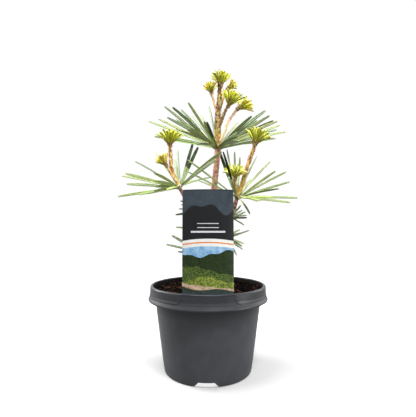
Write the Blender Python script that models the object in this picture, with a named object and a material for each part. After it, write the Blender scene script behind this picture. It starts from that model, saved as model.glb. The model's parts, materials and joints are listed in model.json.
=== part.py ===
"""A young umbrella pine in its round nursery pot, with a plant label in the rim.

Lengths are metres. X runs to the right, Y away from the front, Z up. The origin is the
middle of the pot's flat underside, and the label stands at the front, towards -Y.
"""
import math
import random

import bmesh
import bpy
import numpy
from mathutils import Vector

MM = 0.001
GAP = 0.3 * MM                      # clearance between pieces that touch on the plant
PAST = 2.0 * MM                     # how far a cutter runs past the surface that it cuts
SMOOTH_BELOW = 35.0                 # degrees between faces that are shaded as one surface
FLAT_BELOW = 0.2                    # degrees between faces that are joined as one flat face

# Pot wall and floor
POT_SIDES = 48
BASE_RADIUS = 61.8 * MM
FOOT_ROUND = 2.0 * MM
WALL = 1.4 * MM
FLOOR = 2.2 * MM
WALL_SLOPE = 0.1385                 # radius gained for each unit of height
HUB_RADIUS = 12.0 * MM

# Pot rim: a lip, an upright band and a flared skirt, hollow from below
RIM_FOOT = 97.0 * MM
MOUTH_RADIUS = 78.5 * MM
LIP_HEIGHT = 115.4 * MM
RIM_TOP = 118.0 * MM
RIM_RADIUS = 82.3 * MM
BAND_RISE = 0.7 * MM
BAND_FOOT = 104.3 * MM
FLARE_START = 108.0 * MM
SKIRT_RADIUS = 85.2 * MM
SKIRT_FOOT = 97.8 * MM
SKIRT_TOP = 99.6 * MM
SKIRT_WALL = 1.3 * MM
SKIRT_EDGE = 0.4 * MM
HOLLOW_ROOF = 116.2 * MM
PANEL_HALF_WIDTH = 33.5 * MM
PANEL_CORNER = 9.0 * MM           # rounding of the band's lower corners beside the panel
PANEL_EDGE = 0.05 * MM
PANEL_SKIN = 0.15 * MM              # how far the sunk panel stays proud of the plain rim
PANEL_DROP = 1.0 * MM               # how far the cut for the panel runs below the band's foot

# Drainage channels under the floor, each with one hole up to the soil
CHANNEL_BEARINGS = (-91.8, 28.2, 148.2)
CHANNEL_START = 24.0 * MM
CHANNEL_WIDTH = 30.0 * MM
CHANNEL_TOP_WIDTH = 20.0 * MM
CHANNEL_HEIGHT = 6.2 * MM
DRAIN_RADIUS = 4.5 * MM
DRAIN_PLACE = 34.0 * MM

SOIL_TOP = 111.5 * MM

# Plant label, a card bent to the rim and pushed through a slot in the lip
LABEL_RADIUS = 80.0 * MM
LABEL_THICKNESS = 0.6 * MM
LABEL_HALF_WIDTH = 32.7 * MM
LABEL_FOOT = 106.5 * MM
LABEL_TOP = 246.3 * MM
LABEL_CORNER = 1.5 * MM
SLOT_PLAY = 0.4 * MM
LABEL_ROOM = 4.0 * MM               # needles stay this far from the label's middle plane

# Whorls: rings of the collar as a share of its half height and the growth over the limb,
# how far out of the limb a needle starts, and the foot of it that may pass near the limb
COLLAR_SIDES = 8
COLLAR_RINGS = ((-1.0, 1.2 * MM), (0.2, 2.1 * MM), (1.0, 1.3 * MM))
COLLAR_ROOM = 2.4 * MM
ROOT_RISE = 1.1 * MM
ROOT_FOOT = 6.0 * MM
NEEDLE_ARCH = 0.02                  # rise of a long needle's middle as a share of its length
SHIFTS = (0, 5, -5, 10, -10, 16, -16, 24, -24)      # mm to try where another needle is near

# Buds under the tufts: rings as a share of the bud's height and of the shoot's girth
BUD_SIDES = 6
BUD_RINGS = ((0.0, 0.95), (0.5, 1.15), (1.0, 0.6))
BUD_SHARE = 0.22                    # of the tuft's height
BUD_HEART = 0.4                     # share of the bud's height at which its needles meet
LEAST_GIRTH = 1.7 * MM
TUFT_FOOT = 1.6 * MM                # needles part from each other this far out of the bud

# Spare needles each lie behind or before a seen one: steps to the next of these, how far
# apart their bearings may be, and every which one leans forwards
SPARE_STRIDE = 5
SPARE_SWAY = 5.0
SPARE_FRONT = 3

# The front eye point from which the bearings of the long needles are given
EYE = Vector((0.0, -477.2 * MM, 197.5 * MM))

GOLDEN_ANGLE = math.radians(137.508)
LONG_NEEDLE = dict(width=3.6 * MM, thickness=1.25 * MM, sides=4,
                   sections=((0.0, 0.35), (0.5, 1.0), (1.0, 0.5)))
YOUNG_NEEDLE = dict(width=2.6 * MM, thickness=1.3 * MM, sides=3,
                    sections=((0.0, 0.3), (1.0, 1.0)))

# Limbs: the piece that carries each, the line of its axis, and radii at even steps, in mm
LIMBS = {
    "trunk": dict(
        carrier=None, sides=10, radii=(9.6, 6.6, 6.0, 5.5, 5.0, 4.5, 4.3, 4.6, 4.7, 4.2, 3.6, 3.0),
        points=((-2, 4, 111.8), (-1, 3.5, 135), (2, 2, 180), (5.6, 1, 220), (9, 0.5, 256.6),
                (12.4, 0, 290), (14.7, 0, 319), (14.4, 0, 345), (14.8, 0, 368),
                (17.4, 0, 393), (18.6, 0, 416.6))),
    "bough_left": dict(
        carrier="trunk", sides=8, radii=(4.0, 3.4, 3.0, 2.8, 2.6, 2.5, 2.3, 2.2),
        points=((3.6, 1.4, 202), (-4, -2, 209), (-14, -6, 220), (-30, -11, 238),
                (-41.3, -15, 257.6), (-48.2, -15, 272), (-52.8, -15, 288), (-55.2, -15, 320))),
    "bough_right": dict(
        carrier="trunk", sides=8, radii=(4.2, 3.5, 3.1, 2.9, 2.7, 2.6, 2.4, 2.3),
        points=((2, 2, 178), (10, -2, 184), (22, -6, 196), (34, -12, 216),
                (41.5, -20, 242.7), (48, -20, 260), (55.1, -20, 283), (67.9, -20, 319.7))),
    "shoot_upper_left": dict(
        carrier="trunk", sides=6, radii=(1.8, 1.6, 1.5, 1.4),
        points=((16.2, 0, 371), (11.6, 0, 378), (8.8, 0, 388), (6.4, 0, 398), (4.8, 0, 404.2))),
    "shoot_back_right": dict(
        carrier="trunk", sides=6, radii=(2.0, 1.8, 1.7, 1.6),
        points=((16.8, 0, 376), (20.2, 5, 385), (23, 7, 397), (26.6, 9, 408), (31.8, 10, 414.9))),
    "shoot_right_upper": dict(
        carrier="trunk", sides=6, radii=(2.1, 2.0, 1.9, 1.8),
        points=((14.4, 0, 346), (18.4, -3.5, 353), (22, -5.5, 363), (26.5, -7, 374),
                (31.4, -8, 381))),
    "shoot_right_lower": dict(
        carrier="trunk", sides=6, radii=(2.2, 2.0, 1.9, 1.8),
        points=((14.7, 0, 323.5), (19.3, -3, 329.5), (24, -4, 341), (29, -3.5, 354),
                (35, -2, 365), (46, 0, 379))),
    "shoot_left_small": dict(
        carrier="bough_left", sides=6, radii=(1.9, 1.7, 1.6),
        points=((-44.2, -15, 263), (-47.6, -18.5, 268), (-52.6, -20, 276), (-60.2, -22, 289.3))),
    "shoot_right_small": dict(
        carrier="bough_right", sides=6, radii=(2.1, 2.0, 1.9),
        points=((43.6, -20, 248.5), (40, -21.5, 253), (38.7, -22, 260), (38.6, -22, 272))),
    "twig_low_right": dict(
        carrier="trunk", sides=6, radii=(2.0, 1.8, 1.6),
        points=((1.4, 2.4, 169), (10, -1, 173.5), (21, -4, 181), (31, -6, 188))),
}

# Whorls of long needles. Each needle that the front view shows is a bearing in degrees, a
# reach in mm across the view, and 1 where it leans to the back or -1 to the front. The
# spare needles close the ring at the back and front: count, least and greatest share of the
# reach of a seen one. Where a whorl is mirrored, half of them lie on its other side.
WHORLS = {
    "whorl_main": dict(
        carrier="trunk", height=319, length=105, collar=7.0, spare=(22, 0.3, 0.8),
        seen=((159, 111, 1), (154, 99, -1), (142, 102, 1), (149, 89, -1), (134, 80, 1),
              (123, 82, -1), (118, 56, 1), (102, 64, 1), (113, 42, -1), (170, 96, 1),
              (171, 72, 1), (51, 49, 1), (43, 70, -1), (38, 91, 1), (32, 92, -1),
              (26, 93, 1), (24, 98, 1), (20, 99, 1), (17, 92, 1), (13, 104, 1),
              (9, 88, 1), (146, 76, 1), (138, 92, -1), (35, 72, 1))),
    "whorl_left": dict(
        carrier="bough_left", height=257.6, length=90, collar=6.0, spare=(16, 0.3, 0.8),
        seen=((-171, 89, 1), (-169, 59, -1), (177, 76, -1), (169, 84, 1), (166, 80, -1),
              (150, 74, 1), (125, 61, 1), (93, 54, 1), (99, 40, 1), (73, 67, 1),
              (65, 64, 1), (40, 80, -1), (37, 66, -1), (17, 49, 1))),
    "whorl_right": dict(
        carrier="bough_right", height=242.7, length=88, collar=6.0, spare=(16, 0.3, 0.8),
        seen=((111, 68, 1), (107, 68, -1), (102, 70, 1), (143, 89, -1), (153, 80, -1),
              (93, 65, 1), (86, 57, 1), (64, 65, 1), (47, 70, 1), (34, 66, -1), (27, 79, 1),
              (16, 78, -1), (-1, 86, 1), (-6, 76, -1), (-13, 30, 1), (-54, 30, 1))),
    "whorl_old_high": dict(
        carrier="trunk", height=222, length=58, collar=5.0, spare=(12, 0.25, 0.6), mirrored=True,
        seen=((160, 50, 1), (166, 47, -1), (174, 49, 1), (-176, 54, -1))),
    "whorl_old_middle": dict(
        carrier="trunk", height=193, length=56, collar=5.0, spare=(12, 0.25, 0.6), mirrored=True,
        seen=((172, 51, 1), (-172, 40, 1))),
    "whorl_old_low": dict(
        carrier="trunk", height=159, length=64, collar=5.0, spare=(10, 0.25, 0.55), mirrored=True,
        seen=((152, 61, 1), (166, 64, -1), (174, 45, 1))),
    "whorl_bough_right": dict(
        carrier="bough_right", height=214.6, length=30, collar=4.5, spare=(8, 0.3, 0.8),
        seen=((50, 22, -1), (32, 19, 1), (20, 22, -1), (6, 23, 1), (-3, 23, -1),
              (-32, 22, -1))),
    "whorl_twig_low_right": dict(
        carrier="twig_low_right", height=185.5, length=36, collar=4.0, spare=(7, 0.3, 0.8),
        seen=((17, 34, -1), (30, 22, 1), (-21, 27, 1), (-31, 26, -1), (-38, 29, 1),
              (-62, 30, -1))),
}

# Tufts of this year's young needles at the shoot tips: how far the axis leans from the
# shoot towards a direction, the height and longest needle in mm, spread in degrees, count
TUFTS = {
    "tuft_top": dict(carrier="trunk", lean=(0.1, 0, 1), height=16.5, longest=21, spread=60, count=38),
    "tuft_upper_left": dict(carrier="shoot_upper_left", lean=(-0.1, 0, 1), height=13, longest=16,
                            spread=58, count=28),
    "tuft_back_right": dict(carrier="shoot_back_right", lean=(0.35, 0.2, 0.7), height=11.5, longest=14,
                            spread=62, count=26),
    "tuft_right_upper": dict(carrier="shoot_right_upper", lean=(0.2, -0.1, 1), height=19.5, longest=24,
                             spread=62, count=36),
    "tuft_right_lower": dict(carrier="shoot_right_lower", lean=(1, 0, 0.3), height=19, longest=23,
                             spread=50, count=32),
    "tuft_left": dict(carrier="bough_left", lean=(0.05, 0, 1), height=19, longest=24, spread=63, count=38),
    "tuft_left_small": dict(carrier="shoot_left_small", lean=(-0.6, 0, 0.7), height=14, longest=16,
                            spread=55, count=28),
    "tuft_right": dict(carrier="bough_right", lean=(0.3, 0, 1), height=20, longest=25, spread=60, count=38),
    "tuft_right_small": dict(carrier="shoot_right_small", lean=(0.05, 0, 1), height=16, longest=19,
                             spread=84, count=34),
}

COLOURS = {
    "pot": "#3f4044", "soil": "#2a1f19", "plant_label": "#3a4148", "trunk": "#9a6a52",
    "bough": "#a3764f", "shoot": "#bd9a5c", "twig": "#8f6a50", "whorl": "#7f8f55", "tuft": "#b1b638",
}


def finish(piece, roughness=0.6):
    """Give a piece a material of its own, in the colour of its kind."""
    kind = piece.name if piece.name in COLOURS else piece.name.split("_")[0]
    channels = [int(COLOURS[kind][place:place + 2], 16) / 255 for place in (1, 3, 5)]
    linear = [c / 12.92 if c <= 0.04045 else ((c + 0.055) / 1.055) ** 2.4 for c in channels]
    material = bpy.data.materials.new(piece.name)
    material.use_nodes = True
    shader = material.node_tree.nodes["Principled BSDF"]
    shader.inputs["Base Color"].default_value = (*linear, 1.0)
    shader.inputs["Roughness"].default_value = roughness
    shader.inputs["Metallic"].default_value = 0.0
    piece.data.materials.clear()
    piece.data.materials.append(material)
    piece.data.shade_smooth()
    piece.data.set_sharp_from_angle(angle=math.radians(SMOOTH_BELOW))


def loft(name, rings):
    """A closed solid through rings of points; a ring of one point closes an end."""
    shape = bmesh.new()
    loops = [[shape.verts.new(point) for point in ring] for ring in rings]
    for low, high in zip(loops, loops[1:]):
        count = max(len(low), len(high))
        for i in range(count):
            k = (i + 1) % count
            if len(high) == 1:
                shape.faces.new((low[i], low[k], high[0]))
            else:
                shape.faces.new((low[i], low[k], high[k], high[i]))
    shape.faces.new(loops[0])
    if len(loops[-1]) > 1:
        shape.faces.new(loops[-1])
    bmesh.ops.recalc_face_normals(shape, faces=shape.faces)
    mesh = bpy.data.meshes.new(name)
    shape.to_mesh(mesh)
    shape.free()
    piece = bpy.data.objects.new(name, mesh)
    bpy.context.scene.collection.objects.link(piece)
    return piece


def settle(piece, operation, others, solver="EXACT"):
    """Join others to a piece, or cut them from it, in one Boolean step, and remove them."""
    group = bpy.data.collections.new(piece.name + "_operands")
    bpy.context.scene.collection.children.link(group)
    for other in others:
        bpy.context.scene.collection.objects.unlink(other)
        group.objects.link(other)
    step = piece.modifiers.new(operation, "BOOLEAN")
    step.operation = operation
    step.operand_type = "COLLECTION"
    step.collection = group
    step.solver = solver
    bpy.context.view_layer.update()
    evaluated = piece.evaluated_get(bpy.context.evaluated_depsgraph_get())
    worked = bpy.data.meshes.new_from_object(evaluated)
    piece.modifiers.clear()
    piece.data = worked
    for other in list(group.objects):
        bpy.data.objects.remove(other)
    bpy.data.collections.remove(group)


def keep_largest(piece):
    """Drop any scrap that a cut left loose from the main body."""
    shape = bmesh.new()
    shape.from_mesh(piece.data)
    unseen = set(shape.verts)
    bodies = []
    while unseen:
        body = set()
        front = [unseen.pop()]
        while front:
            vertex = front.pop()
            body.add(vertex)
            for edge in vertex.link_edges:
                neighbour = edge.other_vert(vertex)
                if neighbour in unseen:
                    unseen.discard(neighbour)
                    front.append(neighbour)
        bodies.append(body)
    bodies.sort(key=len)
    for body in bodies[:-1]:
        bmesh.ops.delete(shape, geom=list(body), context="VERTS")
    shape.to_mesh(piece.data)
    shape.free()


def merge_flat_faces(piece):
    """Join the slivers that fusing leaves on flat faces."""
    shape = bmesh.new()
    shape.from_mesh(piece.data)
    bmesh.ops.dissolve_limit(shape, angle_limit=math.radians(FLAT_BELOW), verts=shape.verts,
                             edges=shape.edges)
    bmesh.ops.triangulate(shape, faces=shape.faces)
    shape.to_mesh(piece.data)
    shape.free()


def turned(name, profile, sides=POT_SIDES):
    """A solid of revolution about Z, from radius and height pairs."""
    turns = [math.tau * i / sides for i in range(sides)]
    rings = [[(r * math.cos(a), r * math.sin(a), z) for a in turns] for r, z in profile]
    return loft(name, rings)


def arc(centre, radius_across, radius_up, start, end, steps):
    """Points of an elliptical arc, from start to end in degrees."""
    angles = [math.radians(start + (end - start) * i / steps) for i in range(steps + 1)]
    return [(centre[0] + radius_across * math.cos(a), centre[1] + radius_up * math.sin(a))
            for a in angles]


def wall_radius(height):
    """Outer radius of the pot's plain cone."""
    return BASE_RADIUS + WALL_SLOPE * height


def inner_radius(height):
    """Radius of the inside of the pot, which opens out more inside the rim."""
    foot = wall_radius(RIM_FOOT) - WALL
    if height <= RIM_FOOT:
        return wall_radius(height) - WALL
    return foot + (MOUTH_RADIUS - foot) * (height - RIM_FOOT) / (LIP_HEIGHT - RIM_FOOT)


def flared(height):
    """Outer radius of the rim, which flares from its upright band out to the skirt."""
    share = min(1.0, (FLARE_START - height) / (FLARE_START - SKIRT_TOP))
    return RIM_RADIUS + (SKIRT_RADIUS - RIM_RADIUS) * share ** 1.3


def card_columns(half_width, bottom, top, low_corner, top_corner):
    """Columns of a card with rounded corners: place across, foot and top."""
    corner = max(low_corner, top_corner)
    quarter = [math.radians(22.5 * k) for k in range(5)]
    left = [(-half_width + corner * (1 - math.cos(a)), 1 - math.sin(a)) for a in quarter]
    span = half_width - corner
    between = [(span * (k / 5 - 1), 0.0) for k in range(1, 10)]
    right = [(-place, lift) for place, lift in reversed(left)]
    return [(place, bottom + low_corner * lift, top - top_corner * lift)
            for place, lift in left + between + right]


def panel_columns(bottom, top):
    """Columns of the cut for the panel, which runs out under the band's rounded ends."""
    quarter = [math.radians(22.5 * k) for k in range(4, -1, -1)]
    left = [(-PANEL_HALF_WIDTH - PANEL_CORNER * (1 - math.cos(a)),
             BAND_FOOT + PANEL_CORNER * (1 - math.sin(a))) for a in quarter]
    span = PANEL_HALF_WIDTH - PANEL_EDGE
    between = [(span * (k / 5 - 1), top) for k in range(11)]
    right = [(-place, high) for place, high in reversed(left)]
    return [(place, bottom, high) for place, high in left + between + right]


def curved_plate(name, inner, outer, columns):
    """A plate bent round the pot's axis at the front, through its columns."""
    middle = 0.5 * (inner + outer)
    rings = []
    for place, low, high in columns:
        a = place / middle
        across = Vector((math.sin(a), -math.cos(a), 0))
        rings.append([across * inner + Vector((0, 0, low)), across * outer + Vector((0, 0, low)),
                      across * outer + Vector((0, 0, high)), across * inner + Vector((0, 0, high))])
    return loft(name, rings)


def channel_block(name, bearing, margin, start, end, bottom):
    """A tapered bar that lies along a radius of the floor, larger by a margin all round."""
    a = math.radians(bearing)
    out = Vector((math.cos(a), math.sin(a), 0))
    side = Vector((-math.sin(a), math.cos(a), 0))
    top = CHANNEL_HEIGHT + margin
    slant = (CHANNEL_WIDTH - CHANNEL_TOP_WIDTH) / (2 * CHANNEL_HEIGHT)
    half_low = 0.5 * CHANNEL_WIDTH + margin - slant * bottom
    half_top = 0.5 * CHANNEL_WIDTH + margin - slant * top
    rings = []
    for reach in (start, end):
        rings.append([out * reach + side * across + Vector((0, 0, z))
                      for across, z in ((-half_low, bottom), (half_low, bottom),
                                        (half_top, top), (-half_top, top))])
    return loft(name, rings)


def build_panel_cutter():
    """What is taken off the raised band to leave a sunk panel behind the label."""
    foot = BAND_FOOT - PANEL_DROP
    above = RIM_TOP + PAST
    outside = SKIRT_RADIUS + PAST
    ring = turned("panel", [(MOUTH_RADIUS, above),
                            (RIM_RADIUS + PANEL_SKIN, above),
                            (RIM_RADIUS + PANEL_SKIN, FLARE_START),
                            (flared(BAND_FOOT) + PANEL_SKIN, BAND_FOOT),
                            (flared(foot) + 2 * PANEL_SKIN, foot),
                            (outside, foot),
                            (outside, above + PAST),
                            (MOUTH_RADIUS, above + PAST)])
    outline = curved_plate("outline", RIM_RADIUS - PAST, SKIRT_RADIUS + 0.5 * PAST,
                           panel_columns(BAND_FOOT - 0.5 * PANEL_DROP, RIM_TOP + 0.5 * PAST))
    settle(outline, "INTERSECT", [ring])
    return outline


def build_pot():
    """The moulded pot: turned wall and rim, channels with drain holes, panel and slot."""
    hollow_side = inner_radius(HOLLOW_ROOF) + WALL
    skirt_inside = SKIRT_RADIUS - SKIRT_WALL
    rim_inside = RIM_RADIUS - SKIRT_WALL
    band = RIM_RADIUS + BAND_RISE
    lip_centre = (0.5 * (MOUTH_RADIUS + band), LIP_HEIGHT)
    foot_centre = (BASE_RADIUS - FOOT_ROUND, FOOT_ROUND)
    profile = [(HUB_RADIUS, 0.0)]
    profile += arc(foot_centre, FOOT_ROUND, FOOT_ROUND, -90, 0, 3)
    profile += [(wall_radius(RIM_FOOT), RIM_FOOT),
                (hollow_side, HOLLOW_ROOF),
                (rim_inside, HOLLOW_ROOF),
                (rim_inside, FLARE_START),
                (skirt_inside, SKIRT_TOP),
                (skirt_inside, SKIRT_FOOT + SKIRT_EDGE),
                (skirt_inside + SKIRT_EDGE, SKIRT_FOOT),
                (SKIRT_RADIUS - 0.5 * SKIRT_EDGE, SKIRT_FOOT + SKIRT_EDGE),
                (SKIRT_RADIUS, SKIRT_TOP),
                (flared(0.5 * (SKIRT_TOP + BAND_FOOT)), 0.5 * (SKIRT_TOP + BAND_FOOT)),
                (flared(BAND_FOOT), BAND_FOOT),
                (flared(BAND_FOOT) + BAND_RISE, BAND_FOOT + BAND_RISE),
                (flared(FLARE_START) + BAND_RISE, FLARE_START)]
    profile += arc(lip_centre, 0.5 * (band - MOUTH_RADIUS), RIM_TOP - LIP_HEIGHT, 0, 180, 6)
    profile += [(inner_radius(RIM_FOOT), RIM_FOOT),
                (inner_radius(FLOOR + FOOT_ROUND), FLOOR + FOOT_ROUND),
                (inner_radius(FLOOR) - 0.6 * FOOT_ROUND, FLOOR),
                (HUB_RADIUS, FLOOR)]
    pot = turned("pot", profile)

    casings = []
    core_top = 4 * CHANNEL_HEIGHT
    for bearing in CHANNEL_BEARINGS:
        casing = channel_block("casing", bearing, WALL, CHANNEL_START - WALL, 1.5 * BASE_RADIUS, 0.4 * FLOOR)
        core = turned("core", [(wall_radius(0) - 0.5 * WALL, -0.1 * FLOOR),
                               (wall_radius(core_top) - 0.5 * WALL, core_top)])
        settle(casing, "INTERSECT", [core])
        casings.append(casing)
    settle(pot, "UNION", casings)

    cutters = []
    for bearing in CHANNEL_BEARINGS:
        cutters.append(channel_block("channel", bearing, 0.0, CHANNEL_START, 1.5 * BASE_RADIUS, -PAST))
        a = math.radians(bearing)
        drain = turned("drain", [(DRAIN_RADIUS, 0.5 * CHANNEL_HEIGHT),
                                 (DRAIN_RADIUS, 2 * CHANNEL_HEIGHT)], sides=16)
        drain.location = (DRAIN_PLACE * math.cos(a), DRAIN_PLACE * math.sin(a), 0)
        cutters.append(drain)
    cutters.append(curved_plate("slot", LABEL_RADIUS - SLOT_PLAY, LABEL_RADIUS + LABEL_THICKNESS + SLOT_PLAY,
                                card_columns(LABEL_HALF_WIDTH + SLOT_PLAY, LABEL_FOOT, RIM_TOP + PAST,
                                             0.0, LABEL_CORNER)))
    cutters.append(build_panel_cutter())
    settle(pot, "DIFFERENCE", cutters)
    finish(pot, roughness=0.45)


def build_soil():
    """Potting soil: fills the pot to just under the lip, clear of wall, floor and casings."""
    bottom = FLOOR + GAP
    soil = turned("soil", [(inner_radius(bottom) - 0.6 * FOOT_ROUND - GAP, bottom),
                           (inner_radius(bottom + FOOT_ROUND) - GAP, bottom + FOOT_ROUND),
                           (inner_radius(RIM_FOOT) - GAP, RIM_FOOT),
                           (inner_radius(SOIL_TOP) - GAP, SOIL_TOP)])
    blocks = [channel_block("block", bearing, WALL + GAP, CHANNEL_START - WALL - GAP,
                            1.5 * BASE_RADIUS, 0.0) for bearing in CHANNEL_BEARINGS]
    settle(soil, "DIFFERENCE", blocks)
    finish(soil, roughness=0.95)


def smooth_line(points, steps=2):
    """Points along a curve that passes through each given point."""
    line = [Vector(p) * MM for p in points]
    padded = [2 * line[0] - line[1]] + line + [2 * line[-1] - line[-2]]
    curve = []
    for a, b, c, d in zip(padded, padded[1:], padded[2:], padded[3:]):
        for i in range(steps):
            t = i / steps
            curve.append(0.5 * (2 * b + (c - a) * t + (2 * a - 5 * b + 4 * c - d) * t ** 2
                                + (3 * b - a - 3 * c + d) * t ** 3))
    return curve + [line[-1]]


def limb_radius(radii, share):
    """Radius at a share of a limb's length, read between its even steps."""
    place = share * (len(radii) - 1)
    low = min(int(place), len(radii) - 2)
    return (radii[low] + (radii[low + 1] - radii[low]) * (place - low)) * MM


def limb_stations(name):
    """Centre, direction and radius at each ring of a limb."""
    limb = LIMBS[name]
    line = smooth_line(limb["points"])
    lengths = [0.0]
    for a, b in zip(line, line[1:]):
        lengths.append(lengths[-1] + (b - a).length)
    stations = []
    for i, centre in enumerate(line):
        ahead = line[min(i + 1, len(line) - 1)] - line[max(i - 1, 0)]
        stations.append((centre, ahead.normalized(), limb_radius(limb["radii"], lengths[i] / lengths[-1])))
    return stations


def limb_solid(piece_name, limb_name, grow=0.0):
    """A tapering round limb; the trunk keeps level rings, so its foot is cut flat."""
    sides = LIMBS[limb_name]["sides"]
    rings = []
    for centre, direction, radius in limb_stations(limb_name):
        if limb_name == "trunk":
            direction = Vector((0, 0, 1))
        side = direction.cross(Vector((0, 1, 0))).normalized()
        up = direction.cross(side).normalized()
        turns = [math.tau * (i + 0.5) / sides for i in range(sides)]
        rings.append([centre + (radius + grow) * (math.cos(a) * side + math.sin(a) * up) for a in turns])
    return loft(piece_name, rings)


def clear_of_limb(piece, limb_name):
    """Cut a piece back to the plant's usual clearance from one limb."""
    settle(piece, "DIFFERENCE", [limb_solid("cutter", limb_name, grow=GAP)])
    keep_largest(piece)


# Every straight stretch of limb and needle placed so far: owner, start, end, radius
taken = []


def take(owner, stretches, radius):
    """Note the stretches of one radius that a piece now holds."""
    for start, end in stretches:
        taken.append((owner, start, end, radius))


def is_clear(owner, stretches, radius):
    """Whether stretches of one radius stay clear of all that other pieces hold."""
    others = [row for row in taken if row[0] not in owner]
    if not others:
        return True
    begin = numpy.array([row[1] for row in others])
    along = numpy.array([row[2] for row in others]) - begin
    room = numpy.array([row[3] for row in others]) + radius + GAP
    for start, end in stretches:
        own = numpy.array(end) - numpy.array(start)
        apart = numpy.array(start) - begin
        length = own @ own
        mixed = along @ own
        lengths = (along * along).sum(axis=1)
        own_part = apart @ own
        other_part = (along * apart).sum(axis=1)
        spread = length * lengths - mixed ** 2
        s = numpy.clip((mixed * other_part - lengths * own_part) / numpy.maximum(spread, 1e-15), 0, 1)
        t = numpy.clip((mixed * s + other_part) / lengths, 0, 1)
        s = numpy.clip((mixed * t - own_part) / length, 0, 1)
        nearest = apart + s[:, None] * own - t[:, None] * along
        if (numpy.sqrt((nearest ** 2).sum(axis=1)) < room).any():
            return False
    return True


def build_limbs():
    """Trunk, boughs and shoots, each a single tapering solid clear of its carrier."""
    for name, limb in LIMBS.items():
        piece = limb_solid(name, name)
        if limb["carrier"]:
            clear_of_limb(piece, limb["carrier"])
        finish(piece, roughness=0.7)
        stations = limb_stations(name)
        for (low, _, radius), (high, _, _) in zip(stations, stations[1:]):
            take(name, [(low, high)], radius)


def needle_line(root, tip, arch):
    """Root, middle and tip of a needle, its middle raised by a share of its length."""
    lift = Vector((0, 0, arch * (tip - root).length))
    return [root, 0.5 * (root + tip) + lift, tip]


def needle(line, kind, roll):
    """One needle as a closed blade of few faces, turned by roll about its own axis."""
    rings = []
    direction = (line[2] - line[0]).normalized()
    level = direction.cross(Vector((0, 0, 1)))
    if level.length < 0.05:
        level = direction.cross(Vector((0, 1, 0)))
    level.normalize()
    normal = level.cross(direction)
    across = math.cos(roll) * level + math.sin(roll) * normal
    deep = direction.cross(across)
    for share, width in kind["sections"]:
        centre = line[0].lerp(line[1], 2 * share) if share <= 0.5 else line[1].lerp(line[2], 2 * share - 1)
        half_width = 0.5 * kind["width"] * width
        half_deep = 0.5 * kind["thickness"] * width
        turns = [math.tau * i / kind["sides"] for i in range(kind["sides"])]
        rings.append([centre + across * half_width * math.cos(a) + deep * half_deep * math.sin(a)
                      for a in turns])
    return loft("needle", rings)


def limb_at(name, height):
    """Centre, direction and radius of a limb where it passes a height."""
    stations = limb_stations(name)
    for (low, direction, radius), (high, _, _) in zip(stations, stations[1:]):
        if low.z <= height <= high.z:
            return low.lerp(high, (height - low.z) / (high.z - low.z)), direction, radius
    return stations[-1]


def seen_tip(centre, bearing, reach, depth):
    """The point that shows at a bearing and reach from a centre, moved back by a depth."""
    a = math.radians(bearing)
    flat = centre + reach * Vector((math.cos(a), 0, math.sin(a)))
    share = (flat.y + depth - EYE.y) / (flat.y - EYE.y)
    return EYE + (flat - EYE) * share


def whorl_root(centre, direction, radius, tip, level):
    """Where a needle leaves its collar, on the side that faces its tip."""
    outward = tip - centre
    outward -= outward.dot(direction) * direction
    return centre + outward.normalized() * (radius + ROOT_RISE) + level * direction


def build_whorl(name, whorl, chance):
    """A collar round a limb with long flat needles fused on, like an umbrella's ribs."""
    centre, direction, radius = limb_at(whorl["carrier"], whorl["height"] * MM)
    length = whorl["length"] * MM
    half_width = 0.5 * LONG_NEEDLE["width"]
    half_height = 0.5 * whorl["collar"] * MM
    lines = []

    def try_tip(tip):
        level = 0.3 * half_height * math.sin(len(lines) * GOLDEN_ANGLE)
        line = needle_line(whorl_root(centre, direction, radius, tip, level), tip, NEEDLE_ARCH)
        free = line[0] + (line[1] - line[0]).normalized() * ROOT_FOOT
        inner = [(free, line[1])]
        outer = [(line[1], line[2])]
        if not is_clear((name,), inner, 0.6 * half_width) or not is_clear((name,), outer, half_width):
            return False
        if not is_clear((name, whorl["carrier"]), inner, half_width):
            return False
        lines.append(line)
        return True

    def seen_depth(size, reach):
        return math.sqrt(max(size ** 2 - reach ** 2, (0.1 * length) ** 2))

    for bearing, reach, leaning in whorl["seen"]:
        depth = leaning * seen_depth(length * chance.uniform(0.92, 1.0), reach * MM)
        for shift in SHIFTS:
            if try_tip(seen_tip(centre, bearing, reach * MM, depth + shift * MM)):
                break

    spare, least, greatest = whorl["spare"]
    for i in range(spare):
        bearing, reach, _ = whorl["seen"][i * SPARE_STRIDE % len(whorl["seen"])]
        if whorl.get("mirrored") and i % 2:
            bearing = 180 - bearing
        bearing += chance.uniform(-SPARE_SWAY, SPARE_SWAY)
        reach *= chance.uniform(least, greatest) * MM
        depth = seen_depth(length * chance.uniform(0.8, 0.98), reach)
        try_tip(seen_tip(centre, bearing, reach, depth if i % SPARE_FRONT else -depth))

    side = direction.cross(Vector((0, 1, 0))).normalized()
    up = direction.cross(side).normalized()
    turns = [math.tau * i / COLLAR_SIDES for i in range(COLLAR_SIDES)]
    rings = []
    for along, grow in COLLAR_RINGS:
        rings.append([centre + along * half_height * direction
                      + (radius + grow) * (math.cos(a) * side + math.sin(a) * up) for a in turns])
    piece = loft(name, rings)
    blades = [needle(line, LONG_NEEDLE, math.radians(chance.uniform(20, 80))) for line in lines]
    settle(piece, "UNION", blades, solver="MANIFOLD")
    clear_of_limb(piece, whorl["carrier"])
    merge_flat_faces(piece)
    for line in lines:
        take(name, list(zip(line, line[1:])), half_width)
    take(name, [(centre - half_height * direction, centre + half_height * direction)], radius + COLLAR_ROOM)
    finish(piece, roughness=0.5)


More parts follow.
